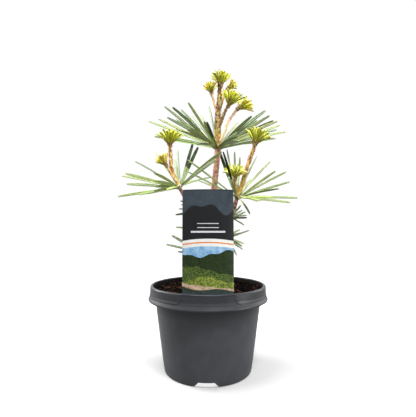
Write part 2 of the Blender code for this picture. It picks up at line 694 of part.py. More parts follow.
def build_tuft(name, tuft, chance):
    """A bud on a shoot's tip with a cup of short young needles fused on."""
    tip, direction, radius = limb_stations(tuft["carrier"])[-1]
    if tuft["carrier"] == "trunk":
        direction = Vector((0, 0, 1))
    axis = (0.4 * direction + Vector(tuft["lean"])).normalized()
    base = tip + direction * GAP
    bud = BUD_SHARE * tuft["height"] * MM
    girth = max(radius, LEAST_GIRTH)
    side = direction.cross(Vector((0, 1, 0))).normalized()
    up = direction.cross(side).normalized()
    turns = [math.tau * (i + 0.5) / BUD_SIDES for i in range(BUD_SIDES)]
    rings = []
    for share, width in BUD_RINGS:
        rings.append([base + share * bud * direction
                      + girth * width * (math.cos(a) * side + math.sin(a) * up) for a in turns])
    piece = loft(name, rings)

    across = axis.cross(Vector((0, 1, 0))).normalized()
    back = axis.cross(across).normalized()
    heart = base + BUD_HEART * bud * direction
    half_width = 0.5 * YOUNG_NEEDLE["width"]
    blades = []
    lines = []
    for i in range(tuft["count"]):
        polar = math.radians(tuft["spread"]) * math.sqrt((i + 0.5) / tuft["count"])
        turn = i * GOLDEN_ANGLE
        heading = (math.cos(polar) * axis + math.sin(polar)
                   * (math.cos(turn) * across + math.sin(turn) * back))
        full = min(tuft["height"] / math.cos(min(polar, 1.2)), tuft["longest"]) * MM
        size = full * chance.uniform(0.86, 1.0)
        roll = math.radians(chance.uniform(-70, 70))
        line = needle_line(heart, heart + heading * size, 0.0)
        outer = [(heart + heading * (girth + TUFT_FOOT), line[2])]
        if is_clear((name,), outer, half_width):
            blades.append(needle(line, YOUNG_NEEDLE, roll))
            lines.append(outer)
    settle(piece, "UNION", blades, solver="MANIFOLD")
    merge_flat_faces(piece)
    for outer in lines:
        take(name, outer, half_width)
    take(name, [(base, base + bud * direction)], 1.2 * girth)
    finish(piece, roughness=0.5)


for old in list(bpy.data.objects):
    bpy.data.objects.remove(old)

build_pot()
build_soil()
card = curved_plate("plant_label", LABEL_RADIUS, LABEL_RADIUS + LABEL_THICKNESS,
                    card_columns(LABEL_HALF_WIDTH, LABEL_FOOT, LABEL_TOP, LABEL_CORNER, LABEL_CORNER))
finish(card, roughness=0.35)
edge = round(LABEL_HALF_WIDTH / MM)
for across in range(-edge, edge + 1, 6):
    foot = Vector((across * MM, -LABEL_RADIUS, LABEL_FOOT))
    take("plant_label", [(foot, foot + Vector((0, 0, LABEL_TOP - LABEL_FOOT)))], LABEL_ROOM)
build_limbs()
for number, (name, tuft) in enumerate(TUFTS.items()):
    build_tuft(name, tuft, random.Random(100 + number))
for number, (name, whorl) in enumerate(WHORLS.items()):
    build_whorl(name, whorl, random.Random(200 + number))
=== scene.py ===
import json
import math
import random

import bpy
import numpy
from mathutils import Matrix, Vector, noise

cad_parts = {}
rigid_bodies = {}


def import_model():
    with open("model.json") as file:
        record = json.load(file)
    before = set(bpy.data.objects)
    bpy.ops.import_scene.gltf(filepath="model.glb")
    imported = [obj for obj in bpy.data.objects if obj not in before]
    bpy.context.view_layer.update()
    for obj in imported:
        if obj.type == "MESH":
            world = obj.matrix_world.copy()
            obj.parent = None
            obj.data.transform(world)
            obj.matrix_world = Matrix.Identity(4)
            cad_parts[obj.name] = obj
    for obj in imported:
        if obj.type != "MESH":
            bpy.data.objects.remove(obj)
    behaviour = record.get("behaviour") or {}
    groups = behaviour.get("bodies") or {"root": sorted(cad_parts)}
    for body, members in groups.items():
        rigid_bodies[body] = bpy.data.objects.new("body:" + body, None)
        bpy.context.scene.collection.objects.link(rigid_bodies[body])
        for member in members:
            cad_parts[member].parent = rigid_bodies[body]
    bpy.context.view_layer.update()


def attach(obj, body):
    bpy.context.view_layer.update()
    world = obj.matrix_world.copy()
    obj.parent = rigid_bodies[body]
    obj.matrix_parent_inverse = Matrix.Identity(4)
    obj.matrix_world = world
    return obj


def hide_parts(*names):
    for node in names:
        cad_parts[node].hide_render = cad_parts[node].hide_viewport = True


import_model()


# The view: the plant is seen from straight ahead, less than half a metre off and level with
# its upper stem, through a lens that is tilted up a little.
MM = 0.001
EYE = Vector((0.0, -477.2 * MM, 197.5 * MM))
LENS_TILT = 0.0628                  # radians up from level
scene = bpy.context.scene
lens = bpy.data.cameras.new("front_view")
lens.lens = 27.95
lens.sensor_width = 36.0
camera = bpy.data.objects.new("front_view", lens)
camera.location = EYE
camera.rotation_euler = (math.radians(90) + LENS_TILT, 0.0, 0.0)
scene.collection.objects.link(camera)
scene.camera = camera
scene.view_settings.view_transform = "Standard"


# The floor: pale matt studio board. What the viewer sees of it is lifted to a clean white, as
# on a product photo, so that it carries only a faint shadow by the pot's foot.
CARD_BOUNCE = 0.1                   # share of light that the board gives back to the plant
CARD_SEEN = 0.3                     # and to the viewer
# Light that the viewer sees added: under the pot, round its foot, and farther out. Each goes
# over into the next between two distances from the pot's axis, in metres.
GLOW_UNDER = 0.85
GLOW_NEAR = 0.14
GLOW_FAR = 0.65
UNDER_EDGE = (0.057, 0.061)
FAR_EDGE = (0.12, 0.6)


def linear(shade):
    """A hex sRGB colour as linear red, green, blue and alpha."""
    parts = [int(shade[place:place + 2], 16) / 255 for place in (1, 3, 5)]
    return tuple(c / 12.92 if c <= 0.04045 else ((c + 0.055) / 1.055) ** 2.4 for c in parts) + (1.0,)


def new_finish(name, shade, roughness, ior=1.5, gloss=0.5):
    """A finish with its plain colour, and the shader that further nodes may feed."""
    finish = bpy.data.materials.new(name)
    finish.use_nodes = True
    finish.diffuse_color = linear(shade)
    shader = finish.node_tree.nodes["Principled BSDF"]
    for part, value in (("Base Color", linear(shade)), ("Roughness", roughness), ("IOR", ior),
                        ("Specular IOR Level", gloss)):
        shader.inputs[part].default_value = value
    return finish, shader


def put(finish, kind, settings=(), values=(), links=(), stops=(), feeds=()):
    """Add a node to a finish, with its settings, plain inputs, links in, ramp stops and links out."""
    step = finish.node_tree.nodes.new("ShaderNode" + kind)
    for name, value in dict(settings).items():
        setattr(step, name, value)
    for name, value in dict(values).items():
        step.inputs[name].default_value = value
    for name, source in dict(links).items():
        finish.node_tree.links.new(source, step.inputs[name])
    for number, (place, shade) in enumerate(stops):
        stop = step.color_ramp.elements[number] if number < 2 else step.color_ramp.elements.new(place)
        stop.position = place
        stop.color = linear(shade)
    for name, target in dict(feeds).items():
        finish.node_tree.links.new(step.outputs[name], target)
    return step


def make(name, points, faces, finishes, slots=None, sharp=35.0):
    """A mesh piece from its points and faces, with the finish that each face takes."""
    mesh = bpy.data.meshes.new(name)
    mesh.from_pydata([tuple(point) for point in points], [], faces)
    for finish in finishes:
        mesh.materials.append(finish)
    if slots:
        mesh.polygons.foreach_set("material_index", slots)
    mesh.shade_smooth()
    mesh.set_sharp_from_angle(angle=math.radians(sharp))
    piece = bpy.data.objects.new(name, mesh)
    scene.collection.objects.link(piece)
    return piece


board, board_shader = new_finish("studio_board", "#aaaaaa", roughness=0.85)
board_shader.inputs["Emission Color"].default_value = (1.0, 1.0, 1.0, 1.0)
seen = put(board, "LightPath").outputs["Is Camera Ray"]
put(board, "MapRange", links={"Value": seen},
    values={"From Min": 0.0, "From Max": 1.0, "To Min": CARD_BOUNCE, "To Max": CARD_SEEN},
    feeds={"Result": board_shader.inputs["Base Color"]})
board_place = put(board, "TexCoord").outputs["Object"]
off_centre = put(board, "VectorMath", settings={"operation": "LENGTH"}, links={0: board_place})
glow, glow_under = (put(board, "MapRange", links={"Value": off_centre.outputs["Value"]},
                        values={"From Min": edge[0], "From Max": edge[1], "To Min": near, "To Max": far})
                    for edge, near, far in ((FAR_EDGE, GLOW_NEAR, GLOW_FAR), (UNDER_EDGE, GLOW_UNDER, 0.0)))
glows = put(board, "Math", settings={"operation": "MAXIMUM"},
            links={0: glow.outputs["Result"], 1: glow_under.outputs["Result"]})
put(board, "Math", settings={"operation": "MULTIPLY"}, links={0: seen, 1: glows.outputs["Value"]},
    feeds={"Value": board_shader.inputs["Emission Strength"]})
tooth = put(board, "TexNoise", links={"Vector": board_place},
            values={"Scale": 1 / (1.5 * MM), "Detail": 2.0}).outputs["Fac"]
put(board, "Bump", values={"Strength": 0.1, "Distance": 0.05 * MM}, links={"Height": tooth},
    feeds={"Normal": board_shader.inputs["Normal"]})
FLOOR_REACH = 4.0
floor = make("studio_floor", [(FLOOR_REACH * x, FLOOR_REACH * y, 0)
                              for x, y in ((-1, -1), (1, -1), (1, 1), (-1, 1))], [(0, 1, 2, 3)], [board])


# The light: a white sweep behind and over the plant and a dim room behind the viewer. Two soft
# boxes hang high in front, and the left one draws the shadow right of the foot. One stands at
# each side, a little behind, and a small low one gives the streak on the pot's right side.
ROOM_DIM = 0.2
SWEEP_LIGHT = 1.25                  # what the sweep gives the plant
SWEEP_WHITE = 1.02                  # what the viewer sees of it
SWEEP_EDGE = (-0.75, 0.35)          # how far up and back the room goes over into the sweep
studio = bpy.data.worlds.new("white_studio")
studio.use_nodes = True
backdrop = studio.node_tree.nodes["Background"]
backdrop.inputs["Color"].default_value = (1.0, 1.0, 1.0, 1.0)
heading = put(studio, "VectorMath", settings={"operation": "DOT_PRODUCT"}, values={1: (0.0, 1.0, 0.8)},
              links={0: put(studio, "TexCoord").outputs["Generated"]})
sweep = put(studio, "MapRange", links={"Value": heading.outputs["Value"]},
            values={"From Min": SWEEP_EDGE[0], "From Max": SWEEP_EDGE[1],
                    "To Min": ROOM_DIM, "To Max": SWEEP_LIGHT})
viewed = put(studio, "LightPath").outputs["Is Camera Ray"]
put(studio, "Mix", links={0: viewed, 2: sweep.outputs["Result"]}, values={3: SWEEP_WHITE},
    feeds={0: backdrop.inputs["Strength"]})
scene.world = studio


def soft_box(name, place, aim, size, power):
    """A rectangular area light that faces a point."""
    light = bpy.data.lights.new(name, "AREA")
    light.shape = "RECTANGLE"
    light.size, light.size_y = size
    light.energy = power
    box = bpy.data.objects.new(name, light)
    box.location = place
    box.rotation_euler = (Vector(aim) - Vector(place)).to_track_quat("-Z", "Y").to_euler()
    box.visible_camera = False
    scene.collection.objects.link(box)


soft_box("key_box", (-0.3, -0.3, 1.5), (0, 0, 0.2), (0.4, 0.4), 22.0)
soft_box("front_box", (0.25, -0.7, 1.4), (0, 0, 0.12), (0.35, 0.35), 26.0)
soft_box("left_box", (-1.0, 0.5, 0.8), (0, 0, 0.15), (0.4, 0.8), 24.0)
soft_box("right_box", (1.0, 0.5, 0.8), (0, 0, 0.15), (0.4, 0.8), 12.0)
soft_box("streak_box", (1.0, -0.45, 0.12), (0, 0, 0.06), (0.4, 0.18), 3.0)


# The pot: polypropylene with carbon black, injection moulded in one shot. The wall is a plain
# cone. Its rim has a rounded lip, a raised band and a flared skirt that is hollow from below,
# and the band stops in rounded corners at the sunk front panel, behind a slot for the label.
POT_COLUMNS = 180
BASE_RADIUS = 61.8 * MM
FOOT_ROUND = 2.0 * MM
WALL = 1.4 * MM
FLOOR = 2.2 * MM
WALL_SLOPE = 0.1385
HUB_RADIUS = 12.0 * MM
RIM_FOOT = 97.0 * MM
MOUTH_RADIUS = 78.5 * MM
LIP_HEIGHT = 115.4 * MM
RIM_TOP = 118.0 * MM
RIM_RADIUS = 82.3 * MM
BAND_RISE = 0.7 * MM
BAND_FOOT = 104.3 * MM
FLARE_START = 108.0 * MM
SKIRT_RADIUS = 85.2 * MM
SKIRT_FOOT = 97.8 * MM
SKIRT_TOP = 99.6 * MM
SKIRT_WALL = 1.3 * MM
HOLLOW_ROOF = 116.2 * MM
PANEL_HALF_WIDTH = 33.2 * MM
PANEL_CORNER = 9.0 * MM
PANEL_SKIN = 0.15 * MM
BAND_END = 1.1 * MM                 # width of the rounded step where the band stops
FLARE_CURVE = 1.3                   # how late the flare of the skirt sets in
ROW_STEP = 0.45 * MM                # height of the mesh's rows on the band
COLUMN_STEP = 0.4 * MM              # width of its columns where the band stops
CHANNEL_BEARINGS = (-91.8, 28.2, 148.2)
CHANNEL_START = 24.0 * MM
CHANNEL_HEIGHT = 6.2 * MM
# Half widths of a channel and the heights that they hold at, up one rounded flank
CHANNEL_FLANK = ((20.0, -2.0), (18.4, 0.0), (16.4, 0.6), (14.9, 1.5), (13.4, 2.7), (12.0, 4.2),
                 (10.9, 5.6), (10.3, 6.2))
DRAIN_RADIUS = 4.5 * MM
DRAIN_PLACE = 34.0 * MM
LABEL_RADIUS = 80.0 * MM
LABEL_THICKNESS = 0.6 * MM
LABEL_HALF_WIDTH = 32.7 * MM
LABEL_FOOT = 106.5 * MM
SLOT_PLAY = 0.4 * MM


def wall_radius(height):
    """Outer radius of the plain cone."""
    return BASE_RADIUS + WALL_SLOPE * height


def inner_radius(height):
    """Radius of the inside, which opens out more inside the rim."""
    foot = wall_radius(RIM_FOOT) - WALL
    if height <= RIM_FOOT:
        return wall_radius(height) - WALL
    return foot + (MOUTH_RADIUS - foot) * (height - RIM_FOOT) / (LIP_HEIGHT - RIM_FOOT)


def flared(height):
    """Outer radius of the rim without its raised band."""
    share = min(1.0, max(0.0, (FLARE_START - height) / (FLARE_START - SKIRT_TOP)))
    return RIM_RADIUS + (SKIRT_RADIUS - RIM_RADIUS) * share ** FLARE_CURVE


def arc(centre, across, up, start, end, steps):
    """Points of an elliptical arc, from start to end in degrees."""
    angles = [math.radians(start + (end - start) * i / steps) for i in range(steps + 1)]
    return [(centre[0] + across * math.cos(a), centre[1] + up * math.sin(a)) for a in angles]


def eased(share):
    """A smooth rise from 0 to 1."""
    share = min(1.0, max(0.0, share))
    return share * share * (3 - 2 * share)


def turns(count):
    """Even turns once round."""
    return [math.tau * k / count for k in range(count)]


def tube(start, count, rings):
    """Faces of a closed tube through rings of points: its sides, then its two ends."""
    end = start + count * (rings - 1)
    sides = [(low + i, low + (i + 1) % count, low + count + (i + 1) % count, low + count + i)
             for low in range(start, end, count) for i in range(count)]
    return sides + [tuple(range(start + count - 1, start - 1, -1)), tuple(range(end, end + count))]


def closed_loft(name, rings, finishes):
    """A closed piece through rings of points."""
    points = [point for ring in rings for point in ring]
    return make(name, points, tube(0, len(rings[0]), len(rings)), finishes)


def raised(across, height):
    """How much of the band's rise is left at a place: none on the panel, all well off it."""
    beside = abs(across) - PANEL_HALF_WIDTH
    if beside >= PANEL_CORNER:
        return 1.0
    short = max(PANEL_CORNER - (height - BAND_FOOT), 0)
    return eased((PANEL_CORNER - math.hypot(PANEL_CORNER - beside, short)) / BAND_END)


def pot_profile():
    """Radius and height pairs, from the underside out and up, over the lip and down inside."""
    band = RIM_RADIUS + BAND_RISE
    skirt_inside = SKIRT_RADIUS - SKIRT_WALL
    rim_inside = RIM_RADIUS - SKIRT_WALL
    edge = 0.5 * SKIRT_WALL
    profile = [(HUB_RADIUS, 0.0), (0.7 * BASE_RADIUS, 0.0)]
    profile += arc((BASE_RADIUS - FOOT_ROUND, FOOT_ROUND), FOOT_ROUND, FOOT_ROUND, -90, 0, 6)
    profile += [(wall_radius(z * MM), z * MM) for z in range(8, 96, 8)]
    profile += [(wall_radius(RIM_FOOT), RIM_FOOT), (inner_radius(HOLLOW_ROOF) + WALL, HOLLOW_ROOF),
                (rim_inside, HOLLOW_ROOF), (rim_inside, FLARE_START), (skirt_inside, SKIRT_TOP)]
    profile += arc((skirt_inside + edge, SKIRT_FOOT + edge), edge, edge, 180, 360, 8)
    for step in range(10):
        height = SKIRT_TOP + (BAND_FOOT - SKIRT_TOP) * step / 10
        profile.append((flared(height), height))
    for step in range(7):
        height = BAND_FOOT + BAND_RISE * step / 6
        profile.append((flared(height) + BAND_RISE * eased(step / 6), height))
    rows = round((LIP_HEIGHT - BAND_FOOT - BAND_RISE) / ROW_STEP)
    for step in range(1, rows):
        height = BAND_FOOT + BAND_RISE + (LIP_HEIGHT - BAND_FOOT - BAND_RISE) * step / rows
        profile.append((flared(height) + BAND_RISE, height))
    profile += arc((0.5 * (MOUTH_RADIUS + band), LIP_HEIGHT), 0.5 * (band - MOUTH_RADIUS),
                   RIM_TOP - LIP_HEIGHT, 0, 180, 14)
    profile += [(inner_radius(h * MM), h * MM) for h in (109, 103, 97, 80, 60, 40, 20)]
    corner = FLOOR + FOOT_ROUND
    profile += arc((inner_radius(corner) - FOOT_ROUND, corner), FOOT_ROUND, FOOT_ROUND, 0, -90, 5)
    return profile + [(HUB_RADIUS, FLOOR)]


def pot_bearings():
    """Bearings of the pot's columns, close together where the band stops beside the panel."""
    near = PANEL_HALF_WIDTH + PANEL_CORNER + 1.0 * MM
    far = PANEL_HALF_WIDTH - 0.8 * MM
    fine = numpy.arange(far, near, COLUMN_STEP) / RIM_RADIUS
    middle = numpy.linspace(-far, far, 22)[1:-1] / RIM_RADIUS
    rest = numpy.linspace(near / RIM_RADIUS, math.tau - near / RIM_RADIUS, POT_COLUMNS)
    return sorted([*middle, *fine, *rest, *(-fine)], key=lambda a: a % math.tau)


def turn_pot(name, finishes):
    """The turned pot, its band taken down to the plain rim on the sunk panel."""
    rings = []
    bearings = pot_bearings()
    for radius, height in pot_profile():
        ring = []
        for bearing in bearings:
            around = (bearing + math.pi) % math.tau - math.pi
            r = radius
            if height > BAND_FOOT:
                rise = BAND_RISE * raised(around * RIM_RADIUS, height)
                r = min(radius, flared(height) + PANEL_SKIN + rise)
            ring.append((r * math.sin(bearing), -r * math.cos(bearing), height))
        rings.append(ring)
    return closed_loft(name, rings, finishes)


def turned(name, profile, finishes, sides=96):
    """A plain turned solid about the pot's axis."""
    return closed_loft(name, [[(r * math.cos(a), r * math.sin(a), z) for a in turns(sides)]
                              for r, z in profile], finishes)


def channel_bar(name, bearing, margin, start, end, bottom):
    """A bar with rounded flanks along a radius of the floor, larger by a margin all round."""
    out = Vector((math.cos(bearing), math.sin(bearing), 0))
    side = Vector((-out.y, out.x, 0))
    flank = [(half * MM + margin, max(z * MM + (margin if z > 0 else 0), bottom))
             for half, z in CHANNEL_FLANK if z * MM + margin >= bottom]
    corners = flank + [(-half, z) for half, z in reversed(flank)]
    return closed_loft(name, [[out * reach + side * across + Vector((0, 0, z)) for across, z in corners]
                              for reach in (start, end)], [])


def bent_card(name, inner, outer, half_width, bottom, top, corner, finishes, steps=24):
    """A card bent round the pot's axis at the front, with rounded corners."""
    middle = 0.5 * (inner + outer)
    quarter = [math.radians(90 * k / 6) for k in range(7)]
    left = [(-half_width + corner * (1 - math.cos(a)), corner * (1 - math.sin(a))) for a in quarter]
    span = half_width - corner
    between = [(span * (2 * k / steps - 1), 0.0) for k in range(1, steps)]
    right = [(-place, lift) for place, lift in reversed(left)]
    rings = []
    for place, lift in left + between + right:
        across = Vector((math.sin(place / middle), -math.cos(place / middle), 0))
        low = Vector((0, 0, bottom + lift))
        high = Vector((0, 0, top - lift))
        rings.append([across * inner + low, across * outer + low, across * outer + high,
                      across * inner + high])
    return closed_loft(name, rings, finishes)


def settle(piece, operation, others):
    """Join others to a piece, or cut them from it, in one Boolean step, and remove them."""
    group = bpy.data.collections.new(piece.name + "_operands")
    scene.collection.children.link(group)
    for other in others:
        scene.collection.objects.unlink(other)
        group.objects.link(other)
    step = piece.modifiers.new(operation, "BOOLEAN")
    step.operation = operation
    step.operand_type = "COLLECTION"
    step.collection = group
    step.solver = "EXACT"
    bpy.context.view_layer.update()
    worked = bpy.data.meshes.new_from_object(piece.evaluated_get(bpy.context.evaluated_depsgraph_get()))
    piece.modifiers.clear()
    piece.data = worked
    for other in list(group.objects):
        bpy.data.objects.remove(other)
    bpy.data.collections.remove(group)


# Moulded polypropylene: waxy and half dull. A fine spark-eroded grain on the tool breaks up
# the gloss, flow marks cloud the black a little, and handling has rubbed it unevenly. The
# colour darkens from the wall up into the rim: painted shade under the skirt and over the rim.
# The lip's gloss is damped: painted shade where its highlight would be.
SKIRT_SHADE_FULL = 95.0 * MM
SKIRT_SHADE_FADE = 14.0 * MM
GLINT_DAMP_START = 114.5 * MM
GLINT_DAMP_FULL = 117.0 * MM
DAMPED_GLINT_GLOSS = 0.12                  # what the painted damping leaves of the usual gloss of 0.5 on the lip


plastic, plastic_shader = new_finish("moulded_polypropylene", "#434447", roughness=0.35, ior=1.45)
pot_place = put(plastic, "TexCoord").outputs["Object"]
pot_up = put(plastic, "SeparateXYZ", links={"Vector": pot_place}).outputs["Z"]
# Painted shade: the gloss is damped over the lip, where the lamps would give it a highlight.
put(plastic, "MapRange", links={"Value": pot_up},
    values={"From Min": GLINT_DAMP_START, "From Max": GLINT_DAMP_FULL, "To Min": 0.5, "To Max": DAMPED_GLINT_GLOSS},
    feeds={"Result": plastic_shader.inputs["Specular IOR Level"]})
# Painted shade: from the wall up into the rim the colour goes over to a darker tone.
unshaded_wall = put(plastic, "MapRange", links={"Value": pot_up},
           values={"From Min": SKIRT_SHADE_FULL - SKIRT_SHADE_FADE, "From Max": SKIRT_SHADE_FULL, "To Min": 1.0, "To Max": 0.0})
flow = put(plastic, "TexNoise", links={"Vector": pot_place},
           values={"Scale": 1 / (16 * MM), "Detail": 3.0}).outputs["Fac"]
wall_tone = put(plastic, "ValToRGB", links={"Fac": flow}, stops=((0.3, "#3e3f43"), (0.7, "#46474b")))
put(plastic, "Mix", settings={"data_type": "RGBA"},
    links={0: unshaded_wall.outputs["Result"], 7: wall_tone.outputs["Color"]},
    values={6: linear("#2b2c2f")}, feeds={2: plastic_shader.inputs["Base Color"]})
rub_place = put(plastic, "Mapping", values={"Scale": (1.0, 1.0, 0.5)}, links={"Vector": pot_place})
rubbing = put(plastic, "TexNoise", links={"Vector": rub_place.outputs["Vector"]},
              values={"Scale": 1 / (9 * MM), "Detail": 3.0}).outputs["Fac"]
put(plastic, "MapRange", values={"From Min": 0.3, "From Max": 0.7, "To Min": 0.3, "To Max": 0.4},
    links={"Value": rubbing}, feeds={"Result": plastic_shader.inputs["Roughness"]})
grain = put(plastic, "TexNoise", links={"Vector": pot_place},
            values={"Scale": 1 / (0.4 * MM), "Detail": 2.0}).outputs["Fac"]
put(plastic, "Bump", values={"Strength": 0.25, "Distance": 0.03 * MM}, links={"Height": grain},
    feeds={"Normal": plastic_shader.inputs["Normal"]})

pot = turn_pot("moulded_pot", [plastic])
casings = []
for bearing in map(math.radians, CHANNEL_BEARINGS):
    casing = channel_bar("casing", bearing, WALL, CHANNEL_START - WALL, 1.5 * BASE_RADIUS, 0.4 * FLOOR)
    core = turned("core", [(wall_radius(0) - 0.5 * WALL, -0.1 * FLOOR),
                           (wall_radius(4 * CHANNEL_HEIGHT) - 0.5 * WALL, 4 * CHANNEL_HEIGHT)], [])
    settle(casing, "INTERSECT", [core])
    casings.append(casing)
settle(pot, "UNION", casings)
cutters = [bent_card("slot", LABEL_RADIUS - SLOT_PLAY, LABEL_RADIUS + LABEL_THICKNESS + SLOT_PLAY,
                     LABEL_HALF_WIDTH + SLOT_PLAY, LABEL_FOOT, RIM_TOP + 3 * MM, 1 * MM, [])]
for bearing in map(math.radians, CHANNEL_BEARINGS):
    cutters.append(channel_bar("channel", bearing, 0.0, CHANNEL_START, 1.5 * BASE_RADIUS, -2 * MM))
    drain = turned("drain", [(DRAIN_RADIUS, 0.5 * CHANNEL_HEIGHT), (DRAIN_RADIUS, 2 * CHANNEL_HEIGHT)],
                   [], 32)
    drain.location = (DRAIN_PLACE * math.cos(bearing), DRAIN_PLACE * math.sin(bearing), 0)
    cutters.append(drain)
settle(pot, "DIFFERENCE", cutters)
# Inside, over the soil, the wall is painted nearly black and dull: painted shade of the recess, mottled
# like smeared wet peat.
recess_shade, recess_shade_shader = new_finish("recess_shade_polypropylene", "#0b0a0a", 0.7, ior=1.2, gloss=0.2)
shade_mottle = put(recess_shade, "TexNoise", links={"Vector": put(recess_shade, "TexCoord").outputs["Object"]},
             values={"Scale": 1 / (2.5 * MM), "Detail": 6.0, "Roughness": 0.7}).outputs["Fac"]
put(recess_shade, "ValToRGB", links={"Fac": shade_mottle}, stops=((0.4, "#060505"), (0.7, "#191412")),
    feeds={"Color": recess_shade_shader.inputs["Base Color"]})
put(recess_shade, "Bump", values={"Strength": 0.5, "Distance": 0.1 * MM}, links={"Height": shade_mottle},
    feeds={"Normal": recess_shade_shader.inputs["Normal"]})
pot.data.materials.clear()
for finish in (plastic, recess_shade):
    pot.data.materials.append(finish)
# Faces inside, above the rim's foot, take the painted shade.
for face in pot.data.polygons:
    inside = math.hypot(face.center.x, face.center.y) < MOUTH_RADIUS + 0.4 * MM
    face.material_index = int(inside and RIM_FOOT < face.center.z)
pot.data.shade_smooth()
pot.data.set_sharp_from_angle(angle=math.radians(35))
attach(pot, "root")
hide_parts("pot")


# The potting soil: moist dark peat with composted bark, filled loose to just under the lip
# and settled by watering. Its top is all crumbs and short fibres, heaped a little round the stem.
SOIL_TOP = 111.5 * MM
GAP = 0.3 * MM
STEM_FOOT = Vector((-2 * MM, 4 * MM, 0))
SOIL_COLUMNS = 150
SOIL_RINGS = 62
# What roughens the surface: the layer of noise, its size and its height, all in mm
SOIL_NOISE = ((0, 17, 1.1), (5, 4.5, 0.9), (9, 1.8, 0.5))
HEAP_HEIGHT = 1.6
HEAP_REACH = 15 * MM


def soil_height(x, y):
    """Height of the crumbled surface at a place."""
    rough = 0.0
    for layer, size, high in SOIL_NOISE:
        rough += high * noise.noise(Vector((x, y, layer * MM)) / (size * MM))
    heap = math.exp(-((Vector((x, y, 0)) - STEM_FOOT).length / HEAP_REACH) ** 2)
    return SOIL_TOP + (rough + HEAP_HEIGHT * heap) * MM


# Peat drinks the light: nearly black where wet, red-brown where fibres dry at the top.
peat, peat_shader = new_finish("moist_peat", "#080504", 0.95, ior=1.15, gloss=0.1)
clods = put(peat, "TexNoise", links={"Vector": put(peat, "TexCoord").outputs["Object"]},
            values={"Scale": 1 / (2.2 * MM), "Detail": 7.0, "Roughness": 0.7}).outputs["Fac"]
put(peat, "ValToRGB", links={"Fac": clods}, feeds={"Color": peat_shader.inputs["Base Color"]},
    stops=((0.4, "#020101"), (0.56, "#090605"), (0.75, "#20140d")))
put(peat, "Bump", values={"Strength": 0.8, "Distance": 0.4 * MM}, links={"Height": clods},
    feeds={"Normal": peat_shader.inputs["Normal"]})
crumb_finishes = [peat]
for name, shade in (("wet_crumb", "#020101"), ("peat_crumb", "#0b0705"), ("bark_crumb", "#342015"),
                    ("dry_fibre", "#463122")):
    crumb, crumb_shader = new_finish(name, shade, 0.9, ior=1.2, gloss=0.1)
    pits = put(crumb, "TexNoise", links={"Vector": put(crumb, "TexCoord").outputs["Object"]},
               values={"Scale": 1 / (0.5 * MM), "Detail": 3.0}).outputs["Fac"]
    put(crumb, "Bump", values={"Strength": 0.6, "Distance": 0.15 * MM}, links={"Height": pits},
        feeds={"Normal": crumb_shader.inputs["Normal"]})
    crumb_finishes.append(crumb)

bottom = FLOOR + GAP
profile = [(0.5 * BASE_RADIUS, bottom), (inner_radius(bottom) - FOOT_ROUND, bottom),
           (inner_radius(bottom + FOOT_ROUND) - GAP, bottom + FOOT_ROUND)]
profile += [(inner_radius(h * MM) - GAP, h * MM) for h in (20, 50, 80, 97, 106)]
soil_edge = inner_radius(SOIL_TOP) - GAP
points = []
for radius, height in profile:
    points += [(radius * math.cos(a), radius * math.sin(a), height) for a in turns(SOIL_COLUMNS)]
for step in range(SOIL_RINGS):
    radius = soil_edge * (1 - step / SOIL_RINGS)
    for a in turns(SOIL_COLUMNS):
        x, y = radius * math.cos(a), radius * math.sin(a)
        points.append((x, y, soil_height(x, y)))
points.append((0.0, 0.0, soil_height(0.0, 0.0)))
last = len(points) - 1
faces = tube(0, SOIL_COLUMNS, last // SOIL_COLUMNS)[:-1]
faces += [(last - SOIL_COLUMNS + i, last - SOIL_COLUMNS + (i + 1) % SOIL_COLUMNS, last)
          for i in range(SOIL_COLUMNS)]
soil = make("peat_soil", points, faces, [peat], sharp=180.0)
blocks = [channel_bar("block", math.radians(bearing), WALL + GAP, CHANNEL_START - WALL - GAP,
                      1.5 * BASE_RADIUS, 0.0) for bearing in CHANNEL_BEARINGS]
settle(soil, "DIFFERENCE", blocks)
soil.data.materials.clear()
soil.data.materials.append(peat)
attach(soil, "root")
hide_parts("soil")

# Loose crumbs and fibres: each crumb is a knobbly eight-sided grain, half sunk in the surface.
CRUMBS = 2600
FIBRES = 260
FIBRE_RINGS = 5
chance = random.Random(11)
points, faces, slots = [], [], []
GRAIN = [Vector(v) for v in ((1, 0, 0), (0, 1, 0), (-1, 0, 0), (0, -1, 0), (0, 0, 1), (0, 0, -1),
                             (0.6, 0.6, 0.5), (-0.6, 0.6, 0.5), (-0.6, -0.6, 0.5), (0.6, -0.6, 0.5))]
GRAIN_FACES = ((0, 1, 6), (1, 2, 7), (2, 3, 8), (3, 0, 9), (6, 4, 9), (7, 4, 6), (8, 4, 7), (9, 4, 8),
               (0, 6, 9), (1, 7, 6), (2, 8, 7), (3, 9, 8), (1, 0, 5), (2, 1, 5), (3, 2, 5), (0, 3, 5))
for number in range(CRUMBS):
    reach = (soil_edge - 1.5 * MM) * math.sqrt(chance.random())
    turn = chance.uniform(0, math.tau)
    x, y = reach * math.cos(turn), reach * math.sin(turn)
    size = chance.uniform(0.5, 1.3) ** 2 * 1.35 * MM
    centre = Vector((x, y, soil_height(x, y) + 0.25 * size))
    spin = chance.uniform(0, math.tau)
    stretch = (chance.uniform(0.8, 1.6), chance.uniform(0.6, 1.1), chance.uniform(0.5, 0.9))
    start = len(points)
    for corner in GRAIN:
        knob = chance.uniform(0.75, 1.25) * size
        along, across, up = (corner[k] * stretch[k] * knob for k in range(3))
        points.append(centre + Vector((along * math.cos(spin) - across * math.sin(spin),
                                       along * math.sin(spin) + across * math.cos(spin), up)))
    slot = chance.choice((1, 1, 1, 1, 2, 2, 3))
    for face in GRAIN_FACES:
        faces.append(tuple(start + k for k in face))
        slots.append(slot)
